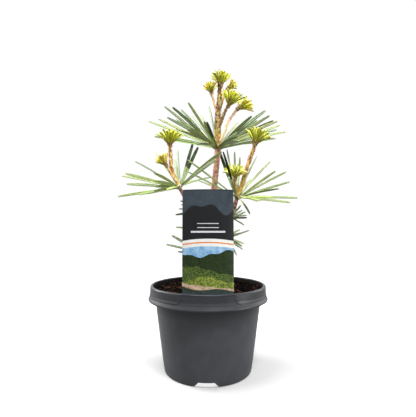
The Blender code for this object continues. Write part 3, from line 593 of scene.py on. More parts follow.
for number in range(FIBRES):
    reach = (soil_edge - 5 * MM) * math.sqrt(chance.random())
    turn = chance.uniform(0, math.tau)
    heading = chance.uniform(0, math.tau)
    x, y = reach * math.cos(turn), reach * math.sin(turn)
    bend = chance.uniform(-1.2, 1.2)
    length = chance.uniform(3, 7) * MM
    thick = chance.uniform(0.12, 0.28) * MM
    start = len(points)
    for step in range(FIBRE_RINGS):
        lift = (0.5 + 0.5 * math.sin(math.pi * step / (FIBRE_RINGS - 1))) * MM
        side = Vector((-math.sin(heading), math.cos(heading), 0)) * thick
        for corner in (side, Vector((0, 0, thick)), -side, Vector((0, 0, -thick))):
            points.append(Vector((x, y, soil_height(x, y) + 0.5 * lift)) + corner)
        x += length / (FIBRE_RINGS - 1) * math.cos(heading)
        y += length / (FIBRE_RINGS - 1) * math.sin(heading)
        heading += bend / (FIBRE_RINGS - 1)
    faces += tube(start, 4, FIBRE_RINGS)
    slots += [4] * (len(faces) - len(slots))
crumbs = make("soil_crumbs", points, faces, crumb_finishes, slots, sharp=30.0)
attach(crumbs, "root")


# The plant label: slate plastic film, printed and cut with rounded corners, pushed into the
# slot of the rim so that it takes the rim's curve. The print is a plain generic one: slate
# with soft hills and pale rules above, a white band with an orange line, a meadow below.
LABEL_TOP = 246.3 * MM
LABEL_CORNER = 1.5 * MM
PRINT_COLUMNS = 64
INK_RISE = 0.02 * MM                # how far the print stands off the film, so that it shows

# The inks: their darkest and lightest shade, and the size in mm of the dapple between
PRINTS = (
    ("ink_slate", "#17181a", "#1b1c1e", 3.0), ("ink_dusk", "#323a41", "#384148", 9.0),
    ("ink_pale", "#b9bcbe", "#c4c7c9", 3.0), ("ink_white", "#cfcfcd", "#d6d6d4", 9.0),
    ("ink_orange", "#c8701a", "#cf7d2c", 9.0), ("ink_sky", "#5f8cb4", "#93b2c8", 9.0),
    ("ink_wood", "#0a1207", "#2c3f1b", 1.3), ("ink_hedge", "#141f0c", "#5b7030", 1.5),
    ("ink_meadow", "#2c3a13", "#88963e", 1.8), ("ink_sand", "#94775c", "#b5a18c", 4.0),
    ("ink_shore", "#1c261c", "#323f38", 2.5), ("ink_deep", "#2c353c", "#333c44", 12.0))
inks = {}
for name, dark, light, dapple in PRINTS:
    ink, ink_shader = new_finish(name, dark, roughness=0.4, ior=1.35)
    blots = put(ink, "TexNoise", links={"Vector": put(ink, "TexCoord").outputs["Object"]},
                values={"Scale": 1 / (dapple * MM), "Detail": 6.0, "Roughness": 0.75}).outputs["Fac"]
    put(ink, "ValToRGB", links={"Fac": blots}, stops=((0.42, dark), (0.6, light)),
        feeds={"Color": ink_shader.inputs["Base Color"]})
    inks[name] = ink
film, film_shader = new_finish("slate_label_film", "#22272c", roughness=0.4, ior=1.35)
waves = put(film, "TexNoise", links={"Vector": put(film, "TexCoord").outputs["Object"]},
            values={"Scale": 1 / (20 * MM), "Detail": 1.0}).outputs["Fac"]
put(film, "Bump", values={"Strength": 0.15, "Distance": 0.2 * MM}, links={"Height": waves},
    feeds={"Normal": film_shader.inputs["Normal"]})

# Edges of the print from top to bottom, each a height in mm above the card's foot as a
# function of the share across, -1 at the left and 1 at the right, with the ink below it.
PRINT_EDGES = (
    (lambda u: 138.5, "ink_dusk"),
    (lambda u: 116 + 5.5 * math.sin(3.4 * u + 2.2) + 3.0 * math.sin(7.1 * u), "ink_slate"),
    (lambda u: 98.0, "ink_pale"), (lambda u: 97.1, "ink_slate"),
    (lambda u: 93.0, "ink_pale"), (lambda u: 92.1, "ink_slate"),
    (lambda u: 88.5, "ink_pale"), (lambda u: 86.3, "ink_slate"),
    (lambda u: 79.0 - 3.0 * u * u, "ink_white"),
    (lambda u: 75.2 - 3.0 * u * u, "ink_orange"),
    (lambda u: 73.6 - 3.0 * u * u, "ink_white"),
    (lambda u: 69.8 - 3.0 * u * u, "ink_sky"),
    (lambda u: 60.5 + 3.5 * math.sin(2.6 * u - 0.6) + 1.3 * math.sin(9 * u + 1), "ink_wood"),
    (lambda u: 40 - 5.0 * math.sin(2.2 * u - 0.3) + 0.9 * math.sin(12 * u), "ink_hedge"),
    (lambda u: 29 + 4.0 * math.sin(2.9 * u + 1.9) + 0.6 * math.sin(15 * u), "ink_meadow"),
    (lambda u: 21 - 3.5 * u + 0.5 * math.sin(11 * u), "ink_sand"),
    (lambda u: 17.5 + 1.5 * math.sin(4 * u) - 2.0 * u, "ink_shore"),
    (lambda u: 13.0 + 0.5 * math.sin(5 * u), "ink_deep"),
    (lambda u: 0.0, None))
# Half the length of each pale rule, as a share of half the print, by the height of its edge
RULE_HALF_LENGTHS = {98.0: 0.42, 93.0: 0.42, 88.5: 0.66}


def print_side(points, faces, slots, radius, facing):
    """The stacked strips of print on one side of the card."""
    names = [name for name, _, _, _ in PRINTS]
    shares = [2 * k / PRINT_COLUMNS - 1 for k in range(PRINT_COLUMNS + 1)]
    start = len(points)
    width = LABEL_HALF_WIDTH - 0.05 * MM
    for edge, _ in PRINT_EDGES:
        for u in shares:
            inset = max(0.0, abs(u) * width - (width - LABEL_CORNER))
            lift = LABEL_CORNER - math.sqrt(max(0.0, LABEL_CORNER ** 2 - inset ** 2))
            height = min(max(edge(u) * MM, lift), LABEL_TOP - LABEL_FOOT - lift)
            a = u * width / (LABEL_RADIUS + 0.5 * LABEL_THICKNESS)
            points.append((radius * math.sin(a), -radius * math.cos(a), LABEL_FOOT + height))
    for row, (edge, name) in enumerate(PRINT_EDGES[:-1]):
        for k in range(PRINT_COLUMNS):
            low = start + row * (PRINT_COLUMNS + 1) + k
            face = (low, low + PRINT_COLUMNS + 1, low + PRINT_COLUMNS + 2, low + 1)
            faces.append(face if facing > 0 else face[::-1])
            middle = 0.5 * (shares[k] + shares[k + 1])
            short = name == "ink_pale" and abs(middle) > RULE_HALF_LENGTHS[edge(0)]
            slots.append(names.index("ink_slate" if short else name))


label = bent_card("label_film", LABEL_RADIUS, LABEL_RADIUS + LABEL_THICKNESS, LABEL_HALF_WIDTH,
                  LABEL_FOOT, LABEL_TOP, LABEL_CORNER, [film], steps=64)
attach(label, "root")
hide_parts("plant_label")
points, faces, slots = [], [], []
print_side(points, faces, slots, LABEL_RADIUS + LABEL_THICKNESS + INK_RISE, 1)
print_side(points, faces, slots, LABEL_RADIUS - INK_RISE, -1)
label_print = make("label_print", points, faces, list(inks.values()), slots)
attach(label_print, "root")


# Stem and boughs: woody shoots that grew one storey a year. Below the whorls the bark is
# smooth, pinkish brown and finely cracked lengthwise, with flat scars where scales have shed.
GOLDEN_ANGLE = math.radians(137.508)
RING_STEP = 0.8 * MM
SWELL = 0.05                        # shares of the radius: gentle swellings of the limb
SWELL_LENGTH = 9 * MM
CRACK_DEPTH = 0.028                 # and narrow cracks, long where the stretch is small
CRACK_STEP = 1.1 * MM
CRACK_STRETCH = 0.22
SCAR_STEP = 5.0 * MM                # how far apart the scars stand
SCAR_RISE = 0.22 * MM
SCAR_HEIGHT = 0.7 * MM
SCAR_WIDTH = 1.1 * MM
SCAR_REACH = 2.4 * MM               # nothing of a scar is left beyond this
TRUNK_FLARE = 0.12                  # three ribs at the trunk's foot
LIMB_FLARE = 0.35                   # and the swollen foot of the other limbs, as shares
# Each limb: sides of its mesh, radii from foot to tip, and points of its line, all in mm
LIMBS = {
    "trunk": (
        48, (9.6, 6.6, 6.0, 5.5, 5.0, 4.5, 4.3, 4.6, 4.7, 4.2, 3.6, 3.0),
        ((-2, 4, 111.8), (-1, 3.5, 135), (2, 2, 180), (5.6, 1, 220), (9, 0.5, 256.6),
         (12.4, 0, 290), (14.7, 0, 319), (14.4, 0, 345), (14.8, 0, 368),
         (17.4, 0, 393), (18.6, 0, 416.6))),
    "bough_left": (
        32, (4.0, 3.4, 3.0, 2.8, 2.6, 2.5, 2.3, 2.2),
        ((3.6, 1.4, 202), (-4, -2, 209), (-14, -6, 220), (-30, -11, 238),
         (-41.3, -15, 257.6), (-48.2, -15, 272), (-52.8, -15, 288), (-55.2, -15, 320))),
    "bough_right": (
        32, (4.2, 3.5, 3.1, 2.9, 2.7, 2.6, 2.4, 2.3),
        ((2, 2, 178), (10, -2, 184), (22, -6, 196), (34, -12, 216),
         (41.5, -20, 242.7), (48, -20, 260), (55.1, -20, 283), (67.9, -20, 319.7))),
    "shoot_upper_left": (
        20, (1.8, 1.6, 1.5, 1.4),
        ((16.2, 0, 371), (11.6, 0, 378), (8.8, 0, 388), (6.4, 0, 398), (4.8, 0, 404.2))),
    "shoot_back_right": (
        20, (2.0, 1.8, 1.7, 1.6),
        ((16.8, 0, 376), (20.2, 5, 385), (23, 7, 397), (26.6, 9, 408), (31.8, 10, 414.9))),
    "shoot_right_upper": (
        20, (2.1, 2.0, 1.9, 1.8),
        ((14.4, 0, 346), (18.4, -3.5, 353), (22, -5.5, 363), (26.5, -7, 374),
         (31.4, -8, 381))),
    "shoot_right_lower": (
        20, (2.2, 2.0, 1.9, 1.8),
        ((14.7, 0, 323.5), (19.3, -3, 329.5), (24, -4, 341), (29, -3.5, 354),
         (35, -2, 365), (46, 0, 379))),
    "shoot_left_small": (
        20, (1.9, 1.7, 1.6),
        ((-44.2, -15, 263), (-47.6, -18.5, 268), (-52.6, -20, 276), (-60.2, -22, 289.3))),
    "shoot_right_small": (
        20, (2.1, 2.0, 1.9),
        ((43.6, -20, 248.5), (40, -21.5, 253), (38.7, -22, 260), (38.6, -22, 272))),
    "twig_low_right": (
        20, (2.0, 1.8, 1.6),
        ((1.4, 2.4, 169), (10, -1, 173.5), (21, -4, 181), (31, -6, 188))),
}


def smooth_line(points, steps):
    """Points along a curve that passes through each given point."""
    line = [Vector(p) * MM for p in points]
    padded = [2 * line[0] - line[1]] + line + [2 * line[-1] - line[-2]]
    curve = []
    for a, b, c, d in zip(padded, padded[1:], padded[2:], padded[3:]):
        for i in range(steps):
            t = i / steps
            curve.append(0.5 * (2 * b + (c - a) * t + (2 * a - 5 * b + 4 * c - d) * t ** 2
                                + (3 * b - a - 3 * c + d) * t ** 3))
    return curve + [line[-1]]


def limb_stations(name, steps=2):
    """Centre, direction and radius at each ring of a limb."""
    _, radii, points = LIMBS[name]
    line = smooth_line(points, steps)
    lengths = [0.0]
    for a, b in zip(line, line[1:]):
        lengths.append(lengths[-1] + (b - a).length)
    stations = []
    for i, centre in enumerate(line):
        ahead = line[min(i + 1, len(line) - 1)] - line[max(i - 1, 0)]
        place = lengths[i] / lengths[-1] * (len(radii) - 1)
        low = min(int(place), len(radii) - 2)
        radius = (radii[low] + (radii[low + 1] - radii[low]) * (place - low)) * MM
        stations.append((centre, ahead.normalized(), radius))
    return stations


def round_frame(direction):
    """Two directions across a limb, sideways and to the back of it."""
    side = direction.cross(Vector((0, 1, 0))).normalized()
    return side, direction.cross(side).normalized()


def aside(turn, side, back):
    """The direction that lies a turn from one direction towards another at right angles."""
    return math.cos(turn) * side + math.sin(turn) * back


def limb_rings(name):
    """Stations of a limb at even small steps, for its relief."""
    stations = limb_stations(name, steps=12)
    rings = [stations[0]]
    for low, high in zip(stations, stations[1:]):
        count = max(1, round((high[0] - low[0]).length / RING_STEP))
        for k in range(1, count + 1):
            rings.append(tuple(low[part] + (high[part] - low[part]) * (k / count) for part in range(3)))
    return rings


def bark_mesh(name, finish, seed):
    """A limb with cracked relief, scale scars in a spiral, and a flare where it starts."""
    sides = LIMBS[name][0]
    chance = random.Random(seed)
    rings = limb_rings(name)
    total = len(rings) * RING_STEP
    circumference = math.tau * rings[len(rings) // 2][2]
    scars = [(total * (i + chance.uniform(-0.3, 0.3)) * SCAR_STEP ** 2 / (total * circumference),
              i * GOLDEN_ANGLE % math.tau, chance.uniform(0.6, 1.2))
             for i in range(int(total * circumference / SCAR_STEP ** 2))]
    points = []
    travelled = 0.0
    for number, (centre, direction, radius) in enumerate(rings):
        if number:
            travelled += (centre - rings[number - 1][0]).length
        side, back = round_frame(Vector((0, 0, 1)) if name == "trunk" else direction)
        near = [scar for scar in scars if abs(scar[0] - travelled) < SCAR_REACH]
        start = math.exp(-travelled / ((6 if name == "trunk" else 2.5) * MM))
        for a in turns(sides):
            spot = Vector((radius * math.cos(a), radius * math.sin(a), CRACK_STRETCH * travelled))
            crack = (1 - abs(noise.noise(spot / CRACK_STEP + Vector((seed, 0, 0))))) ** 7
            swell = noise.noise(Vector((math.cos(a), math.sin(a), travelled / SWELL_LENGTH + seed)))
            relief = SWELL * radius * swell - CRACK_DEPTH * radius * crack
            for along, turn, size in near:
                around = ((a - turn + math.pi) % math.tau - math.pi) * radius
                relief += SCAR_RISE * size * math.exp(-((travelled - along) / SCAR_HEIGHT) ** 2
                                                      - (around / SCAR_WIDTH) ** 2)
            if name == "trunk":
                relief += TRUNK_FLARE * radius * start * math.sin(3 * a + 1)
            else:
                relief += LIMB_FLARE * radius * start
            size = radius + relief
            points.append(centre + size * aside(a, side, back))
    return make(name + "_bark", points, tube(0, sides, len(rings)), [finish], sharp=60.0)


# The shades of the cracked old bark, and of this year's skin above a height in mm
OLD_BARK = ("#6a4234", "#a37460", "#c39a84")
BARK_FADE = 4.0 * MM
BARKS = {
    "trunk": (321, ("#544020", "#86713a", "#ac9a5c")),
    "bough_left": (255, ("#80602a", "#b6923f", "#cfb46a")),
    "bough_right": (240, ("#7c5c2a", "#ad893f", "#c9ad68")),
    "shoot_upper_left": (300, ("#9c7148", "#c99c72", "#dfc19a")),
    "shoot_back_right": (300, ("#8b643b", "#bb9160", "#d7ba89")),
    "shoot_right_upper": (300, ("#4f3a20", "#7d6336", "#a08a52")),
    "shoot_right_lower": (300, ("#c9a17e", "#e2bd9c", "#efd8bd")),
    "shoot_left_small": (200, ("#ab8250", "#d6b47c", "#e5cea4")),
    "shoot_right_small": (200, ("#80602e", "#a8874a", "#c4a76a")),
    "twig_low_right": (300, OLD_BARK),
}


def bark_finish(name):
    """Bark shades by height: cracked old wood below a place, this year's skin above it."""
    change, young = BARKS[name]
    bark, shader = new_finish(name + "_skin", OLD_BARK[1], roughness=0.72, ior=1.45)
    place = put(bark, "TexCoord").outputs["Object"]
    drawn_out = put(bark, "Mapping", values={"Scale": (1.0, 1.0, 0.2)}, links={"Vector": place})
    fibres = put(bark, "TexNoise", links={"Vector": drawn_out.outputs["Vector"]},
                 values={"Scale": 1 / (1.2 * MM), "Detail": 5.0, "Roughness": 0.6}).outputs["Fac"]
    clouds = put(bark, "TexNoise", links={"Vector": place},
                 values={"Scale": 1 / (5 * MM), "Detail": 2.0}).outputs["Fac"]
    stir = put(bark, "Math", settings={"operation": "MULTIPLY_ADD"}, values={1: 0.6},
               links={0: fibres, 2: clouds}).outputs["Value"]
    old_tone, young_tone = (put(bark, "ValToRGB", links={"Fac": stir},
                                stops=zip((0.62, 0.8, 1.0), shades)).outputs["Color"]
                            for shades in (OLD_BARK, young))
    height = put(bark, "SeparateXYZ", links={"Vector": place}).outputs["Z"]
    share = put(bark, "MapRange", links={"Value": height},
                values={"From Min": change * MM - BARK_FADE, "From Max": change * MM + BARK_FADE})
    put(bark, "Mix", settings={"data_type": "RGBA"}, feeds={2: shader.inputs["Base Color"]},
        links={0: share.outputs["Result"], 6: old_tone, 7: young_tone})
    put(bark, "Bump", values={"Strength": 0.5, "Distance": 0.15 * MM}, links={"Height": fibres},
        feeds={"Normal": shader.inputs["Normal"]})
    return bark


# Every straight stretch of limb and needle placed so far: owner, start, end, radius. New
# growth keeps clear of them, by the same rule as the solids.
taken = []


def take(owner, stretches, radius):
    """Note the stretches of one radius that a piece now holds."""
    for start, end in stretches:
        taken.append((owner, start, end, radius))


def is_clear(owner, stretches, radius):
    """Whether stretches of one radius stay clear of all that other pieces hold."""
    others = [row for row in taken if row[0] not in owner]
    begin = numpy.array([row[1] for row in others])
    along = numpy.array([row[2] for row in others]) - begin
    room = numpy.array([row[3] for row in others]) + radius + GAP
    for start, end in stretches:
        own = numpy.array(end) - numpy.array(start)
        apart = numpy.array(start) - begin
        length = own @ own
        mixed = along @ own
        lengths = (along * along).sum(axis=1)
        own_part = apart @ own
        other_part = (along * apart).sum(axis=1)
        spread = length * lengths - mixed ** 2
        s = numpy.clip((mixed * other_part - lengths * own_part) / numpy.maximum(spread, 1e-15), 0, 1)
        t = numpy.clip((mixed * s + other_part) / lengths, 0, 1)
        s = numpy.clip((mixed * t - own_part) / length, 0, 1)
        nearest = apart + s[:, None] * own - t[:, None] * along
        if (numpy.sqrt((nearest ** 2).sum(axis=1)) < room).any():
            return False
    return True


# The label counts as stout upright bars side by side
BAR_STEP = 6
BAR_RADIUS = 4 * MM
edge = round(LABEL_HALF_WIDTH / MM)
for across in range(-edge, edge + 1, BAR_STEP):
    foot = Vector((across * MM, -LABEL_RADIUS, LABEL_FOOT))
    take("plant_label", [(foot, foot + Vector((0, 0, LABEL_TOP - LABEL_FOOT)))], BAR_RADIUS)
for number, name in enumerate(LIMBS):
    bark = bark_mesh(name, bark_finish(name), number)
    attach(bark, "root")
    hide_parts(name)
    stations = limb_stations(name)
    for (low, _, radius), (high, _, _) in zip(stations, stations[1:]):
        take(name, [(low, high)], radius)


# Scale leaves: this year's shoots are wrapped in small dry scales that overlap in a spiral
# like the strands of a rope, straw or lime coloured with brown tips, thinner on older wood.
LEAF_GRAIN = 0.5 * MM
SCALE_SIDES = 6
SCALE_THICKNESS = 0.45 * MM
# Rings of a scale from foot to tip, as shares of its length, width, lift and thickness
SCALE_PROFILE = ((0.0, 0.55, -0.25, 0.7), (0.3, 1.0, 0.1, 0.9), (0.65, 0.8, 0.55, 0.7),
                 (1.0, 0.12, 1.0, 0.25))
BROWN_TIPS = 0.45                   # share of the scales with a brown tip


def leaf_finish(name, shade, roughness, gloss=0.5):
    """A leaf's plain colour with the fine skin of cells that takes the edge off its gloss."""
    leaf, shader = new_finish(name, shade, roughness, ior=1.36, gloss=gloss)
    cells = put(leaf, "TexNoise", links={"Vector": put(leaf, "TexCoord").outputs["Object"]},
                values={"Scale": 1 / LEAF_GRAIN, "Detail": 2.0}).outputs["Fac"]
    put(leaf, "Bump", values={"Strength": 0.2, "Distance": 0.06 * MM}, links={"Height": cells},
        feeds={"Normal": shader.inputs["Normal"]})
    return leaf


SCALE_SHADES = {"straw": "#cdb766", "lime": "#a3a43d", "tan": "#ad8450", "umber": "#4a2f1a",
                "cream": "#e6d6ac", "rose": "#b98470", "moss": "#6a6c2a", "gold": "#d0a834",
                "rust": "#7f4a26", "soot": "#241509"}
scale_names = list(SCALE_SHADES)
scale_finishes = [leaf_finish(name + "_scale", shade, 0.6) for name, shade in SCALE_SHADES.items()]

# Where scales stand: limb, lowest and highest point in mm, scales to each mm of length,
# their length and width in mm, and the shades in the share that they take
SCALES = (
    ("trunk", 322, 352, 1.25, 6.0, 3.0, "lime moss umber tan gold straw"),
    ("trunk", 352, 384, 1.25, 5.6, 3.0, "straw straw rose tan lime umber rust"),
    ("trunk", 384, 402, 1.25, 5.4, 3.0, "straw cream straw tan cream rust"),
    ("trunk", 402, 416, 1.3, 5.0, 2.6, "soot soot umber rust cream"),
    ("bough_left", 259, 276, 0.9, 5.0, 2.3, "gold gold straw gold"),
    ("bough_left", 276, 316, 1.0, 5.0, 2.3, "tan cream rust rust rose cream"),
    ("bough_right", 245, 270, 0.9, 5.0, 2.3, "gold straw gold lime"),
    ("bough_right", 270, 315, 0.95, 5.0, 2.2, "tan straw rust tan rose rust"),
    ("shoot_upper_left", 379, 401, 0.5, 4.0, 1.6, "cream tan cream straw"),
    ("shoot_back_right", 384, 412, 0.5, 4.2, 1.7, "cream tan rust straw"),
    ("shoot_right_upper", 352, 378, 0.7, 4.6, 1.9, "umber moss tan tan"),
    ("shoot_right_lower", 327, 376, 0.3, 5.2, 1.9, "cream cream cream straw"),
    ("shoot_left_small", 266, 286, 0.6, 4.4, 1.8, "cream straw rose cream"),
    ("shoot_right_small", 251, 270, 0.7, 4.4, 1.8, "tan straw gold rust"),
    ("trunk", 250, 316, 0.16, 3.2, 2.4, "rose tan rust"),
    ("trunk", 120, 245, 0.12, 3.4, 2.6, "umber rose"),
)


def limb_at(name, height):
    """Centre, direction and radius of a limb where it passes a height."""
    stations = limb_stations(name)
    for (low, direction, radius), (high, _, _) in zip(stations, stations[1:]):
        if low.z <= height <= high.z:
            return low.lerp(high, (height - low.z) / (high.z - low.z)), direction, radius
    return stations[-1]


def add_scale(points, faces, slots, foot, up, out, length, width, lift, slot, tip_slot):
    """A pointed shield on a shoot: its foot in the skin, its tip a little off it."""
    across = up.cross(out).normalized()
    start = len(points)
    for share, half, rise, thick in SCALE_PROFILE:
        middle = foot + up * (share * length) + out * (rise * lift)
        for a in turns(SCALE_SIDES):
            points.append(middle + across * (0.5 * width * half * math.cos(a))
                          + out * (SCALE_THICKNESS * thick * math.sin(a)))
    faces += tube(start, SCALE_SIDES, len(SCALE_PROFILE))
    slots += [slot] * (2 * SCALE_SIDES) + [tip_slot] * SCALE_SIDES + [slot, tip_slot]


points, faces, slots = [], [], []
for number, (limb, low, high, crowd, length, width, shades) in enumerate(SCALES):
    chance = random.Random(40 + number)
    shades = shades.split()
    count = round((high - low) * crowd)
    for i in range(count):
        height = low + (high - low) * (i + chance.uniform(0, 0.8)) / count
        centre, direction, radius = limb_at(limb, height * MM)
        side, back = round_frame(direction)
        turn = i * GOLDEN_ANGLE + chance.uniform(-0.25, 0.25)
        out = aside(turn, side, back)
        twist = chance.uniform(-0.18, 0.18)
        up = (direction + twist * direction.cross(out)).normalized()
        shade = scale_names.index(chance.choice(shades))
        tip = scale_names.index("umber") if chance.random() < BROWN_TIPS else shade
        add_scale(points, faces, slots, centre + radius * out, up, out,
                  length * chance.uniform(0.75, 1.15) * MM, width * chance.uniform(0.8, 1.15) * MM,
                  chance.uniform(0.5, 1.2) * MM, shade, tip)
scales = make("scale_leaves", points, faces, scale_finishes, slots, sharp=50.0)
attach(scales, "root")


# Young needles: soft, blunt and bright, packed in a cup at each shoot's tip. They stand on a
# bud of brown scales, are furrowed along the middle and turn outwards as they lengthen.
YOUNG_SHADES = {"lime": ("#c1c53e", "#dfe07e"), "bright": ("#deda50", "#eeec94"),
                "olive": ("#8f9428", "#b8bc5c"), "gold": ("#d0b856", "#e2d088")}
young_names = list(YOUNG_SHADES)
young_finishes = [leaf_finish(name + "_young_" + part, shade, 0.5) for name, pair in YOUNG_SHADES.items()
                  for part, shade in zip(("needle", "furrow"), pair)]
# The darker green low on the young needles is painted shade, deep inside the cup.
YOUNG_FOOT, YOUNG_NECK_SHADE, BUD_SCALE, PALE_SCALE = range(len(young_finishes), len(young_finishes) + 4)
young_finishes += [leaf_finish("young_needle_foot", "#b3965c", 0.55),
                   leaf_finish("young_needle_neck_shade", "#8f922c", 0.5),
                   leaf_finish("bud_scale_brown", "#84633a", 0.6),
                   leaf_finish("bud_scale_pale", "#cdb78c", 0.6)]
# A needle's section as shares of half its width and thickness, from one edge over the top and
# back, and its outline as shares of its length and width, from foot to tip
YOUNG_SECTION = ((-1.0, 0.0), (-0.8, 0.8), (-0.28, 0.9), (0.0, 0.45), (0.28, 0.9), (0.8, 0.8),
                 (1.0, 0.0), (0.7, -0.75), (0.0, -0.9), (-0.7, -0.75))
YOUNG_OUTLINE = ((0.0, 0.26), (0.16, 0.36), (0.34, 0.56), (0.54, 0.82), (0.74, 1.0), (0.88, 0.98),
                 (0.97, 0.78), (1.0, 0.45))
YOUNG_FURROW_SIDES = (2, 3)         # which sides of the section are the furrow
# The tufts: the limb that carries each, the way it leans, its height and its longest needle in
# mm, half the angle of its cup, its needles in the solid, and its shades in the share they take
TUFTS = {
    "tuft_top": ("trunk", (0.1, 0, 1), 16.5, 21, 64, 40, "lime lime bright olive olive"),
    "tuft_upper_left": ("shoot_upper_left", (-0.1, 0, 1), 13, 16, 58, 26, "lime gold gold olive bright"),
    "tuft_back_right": ("shoot_back_right", (0.35, 0.2, 0.7), 11.5, 14, 62, 26, "lime gold gold bright"),
    "tuft_right_upper": ("shoot_right_upper", (0.2, -0.1, 1), 19.5, 24, 62, 36,
                         "bright lime lime bright olive"),
    "tuft_right_lower": ("shoot_right_lower", (1, 0, 0.85), 19, 23, 60, 36, "bright bright gold bright"),
    "tuft_left": ("bough_left", (0.05, 0, 1), 19, 24, 63, 38, "lime lime bright olive"),
    "tuft_left_small": ("shoot_left_small", (-0.6, 0, 0.7), 14, 16, 55, 28, "gold gold lime bright"),
    "tuft_right": ("bough_right", (0.3, 0, 1), 20, 25, 60, 38, "lime lime bright olive olive"),
    "tuft_right_small": ("shoot_right_small", (0.05, 0, 1), 16, 19, 84, 34,
                         "bright lime olive lime bright"),
}
YOUNG_WIDTH = 2.7 * MM
YOUNG_THICKNESS = 1.3 * MM
YOUNG_GROWTH = 1.15                 # needles to each needle of the solid
YOUNG_REACH = (0.84, 1.0)           # least and greatest share of its length that one has
YOUNG_ARCH = 0.12
YOUNG_ROLL = (0, 50)                # degrees
BUD_SHARE = 0.22                    # a bud's height as a share of the tuft's
BUD_HEART = 0.4                     # how far up the bud the needles seem to fan out from
BUD_RING = 0.3                      # and how far up it the inner ones rise
BUD_SPREAD = 0.8                    # how near to the skin the outer ones do
LIMB_PULL = 0.4                     # how much a tuft still points along its limb
LEAST_GIRTH = 1.7 * MM              # of a bud
TUFT_FOOT = 1.6 * MM                # a needle claims room from here outwards
TUFT_DROP = 4.0 * MM                # how far below the shoot's tip the outer needles rise
BUD_SCALES = 12
BUD_SIDES = 16
BUD_PROFILE = ((-0.5, 0.85), (0.0, 0.98), (0.4, 1.1), (0.8, 0.9), (1.1, 0.3))


def blade(points, faces, slots, line, outline, section, width, thickness, across, slot_of, notch=0.0):
    """A needle along a line of three points: rings of its section, closed across the tip."""
    direction = (line[2] - line[0]).normalized()
    across = (across - across.dot(direction) * direction).normalized()
    deep = direction.cross(across)
    start = len(points)
    count = len(section)
    for share, size in outline:
        bend = 2 * line[1] - 0.5 * (line[0] + line[2])
        middle = line[0] * (1 - share) ** 2 + bend * (2 * share * (1 - share)) + line[2] * share ** 2
        for u, v in section:
            back = notch * (1 - abs(u)) if share == 1.0 else 0.0
            points.append(middle - direction * back + across * (0.5 * width * size * u)
                          + deep * (0.5 * thickness * (0.4 + 0.6 * size) * v))
    faces += tube(start, count, len(outline))[:-1]
    slots += [slot_of(ring, k) for ring in range(len(outline) - 1) for k in range(count)]
    slots.append(slot_of(0, 0))
    end = start + count * (len(outline) - 1)
    for k in range(count // 2):
        top, low = end + k, end + (count - k) % count
        corners = [top, top + 1, end + count - k - 1, low]
        faces.append(tuple(dict.fromkeys(corners)))
        slots.append(slot_of(len(outline) - 2, 0))


def rolled(flat, direction, low, high, chance):
    """A direction across a needle, turned about it either way by a chance angle in degrees."""
    turn = math.radians(chance.uniform(low, high)) * chance.choice((-1, 1))
    flat = (flat - flat.dot(direction) * direction).normalized()
    return aside(turn, flat, direction.cross(flat))


def grow_tuft(name, tuft, chance):
    """The cup of needles on its bud, in the finishes dealt out needle by needle."""
    carrier, lean, rise, longest, spread, count, shades = tuft
    tip, direction, radius = limb_stations(carrier)[-1]
    if carrier == "trunk":
        direction = Vector((0, 0, 1))
    axis = (LIMB_PULL * direction + Vector(lean)).normalized()
    base = tip + direction * GAP
    bud = BUD_SHARE * rise * MM
    girth = max(radius, LEAST_GIRTH)
    points = []
    side, back = round_frame(direction)
    for share, width in BUD_PROFILE:
        points += [base + share * bud * direction + girth * width * aside(a, side, back)
                   for a in turns(BUD_SIDES)]
    faces = tube(0, BUD_SIDES, len(BUD_PROFILE))
    slots = [BUD_SCALE] * len(faces)
    for i in range(BUD_SCALES):
        turn = i * GOLDEN_ANGLE
        out = aside(turn, side, back)
        foot = base + 0.95 * radius * out + chance.uniform(-6.5, -3.0) * MM * direction
        up = (direction + chance.uniform(0.2, 0.6) * out).normalized()
        add_scale(points, faces, slots, foot, up, out,
                  chance.uniform(3.5, 6.0) * MM, chance.uniform(1.6, 2.6) * MM, 0.5 * MM,
                  chance.choice((BUD_SCALE, PALE_SCALE, YOUNG_FOOT)), BUD_SCALE)

    across, behind = round_frame(axis)
    heart = base + BUD_HEART * bud * direction
    lines = []
    count = round(count * YOUNG_GROWTH)
    for i in range(count):
        polar = math.radians(spread) * math.sqrt((i + 0.5) / count)
        turn = i * GOLDEN_ANGLE
        heading = aside(polar, axis, aside(turn, across, behind))
        full = min(rise / math.cos(min(polar, 1.2)), longest) * MM
        size = full * chance.uniform(*YOUNG_REACH)
        outer = [(heart + heading * (girth + TUFT_FOOT), heart + heading * size)]
        if not is_clear((name,), outer, 0.5 * YOUNG_WIDTH):
            continue
        end = heart + heading * size
        share = polar / math.radians(spread)
        around = heading - heading.dot(direction) * direction
        root = base + (BUD_RING * bud - TUFT_DROP * share) * direction
        if around.length > 0.05:
            root += BUD_SPREAD * radius * share * around.normalized()
        middle = 0.5 * (root + end) + axis * (YOUNG_ARCH * size * share)
        shade = 2 * young_names.index(chance.choice(shades.split()))
        neck_shade = chance.choice((YOUNG_FOOT, YOUNG_NECK_SHADE, YOUNG_NECK_SHADE, shade))

        # Painted shade: low on many needles a darker green stands for the shade deep inside the cup.
        def slot_of(ring, k, shade=shade, neck_shade=neck_shade):
            if ring < 3:
                return (YOUNG_FOOT, neck_shade, YOUNG_NECK_SHADE if neck_shade == YOUNG_NECK_SHADE else shade)[ring]
            return shade + 1 if k in YOUNG_FURROW_SIDES or ring > 5 else shade

        flat = rolled(axis.cross(heading), (end - root).normalized(), *YOUNG_ROLL, chance)
        blade(points, faces, slots, [root, middle, end], YOUNG_OUTLINE, YOUNG_SECTION,
              YOUNG_WIDTH * chance.uniform(0.9, 1.2), YOUNG_THICKNESS, flat, slot_of)
        lines.append(outer)
    for outer in lines:
        take(name, outer, 0.5 * YOUNG_WIDTH)
    take(name, [(base, base + bud * direction)], 1.2 * girth)
    return make(name.replace("tuft", "young_needles"), points, faces, young_finishes, slots, sharp=50.0)


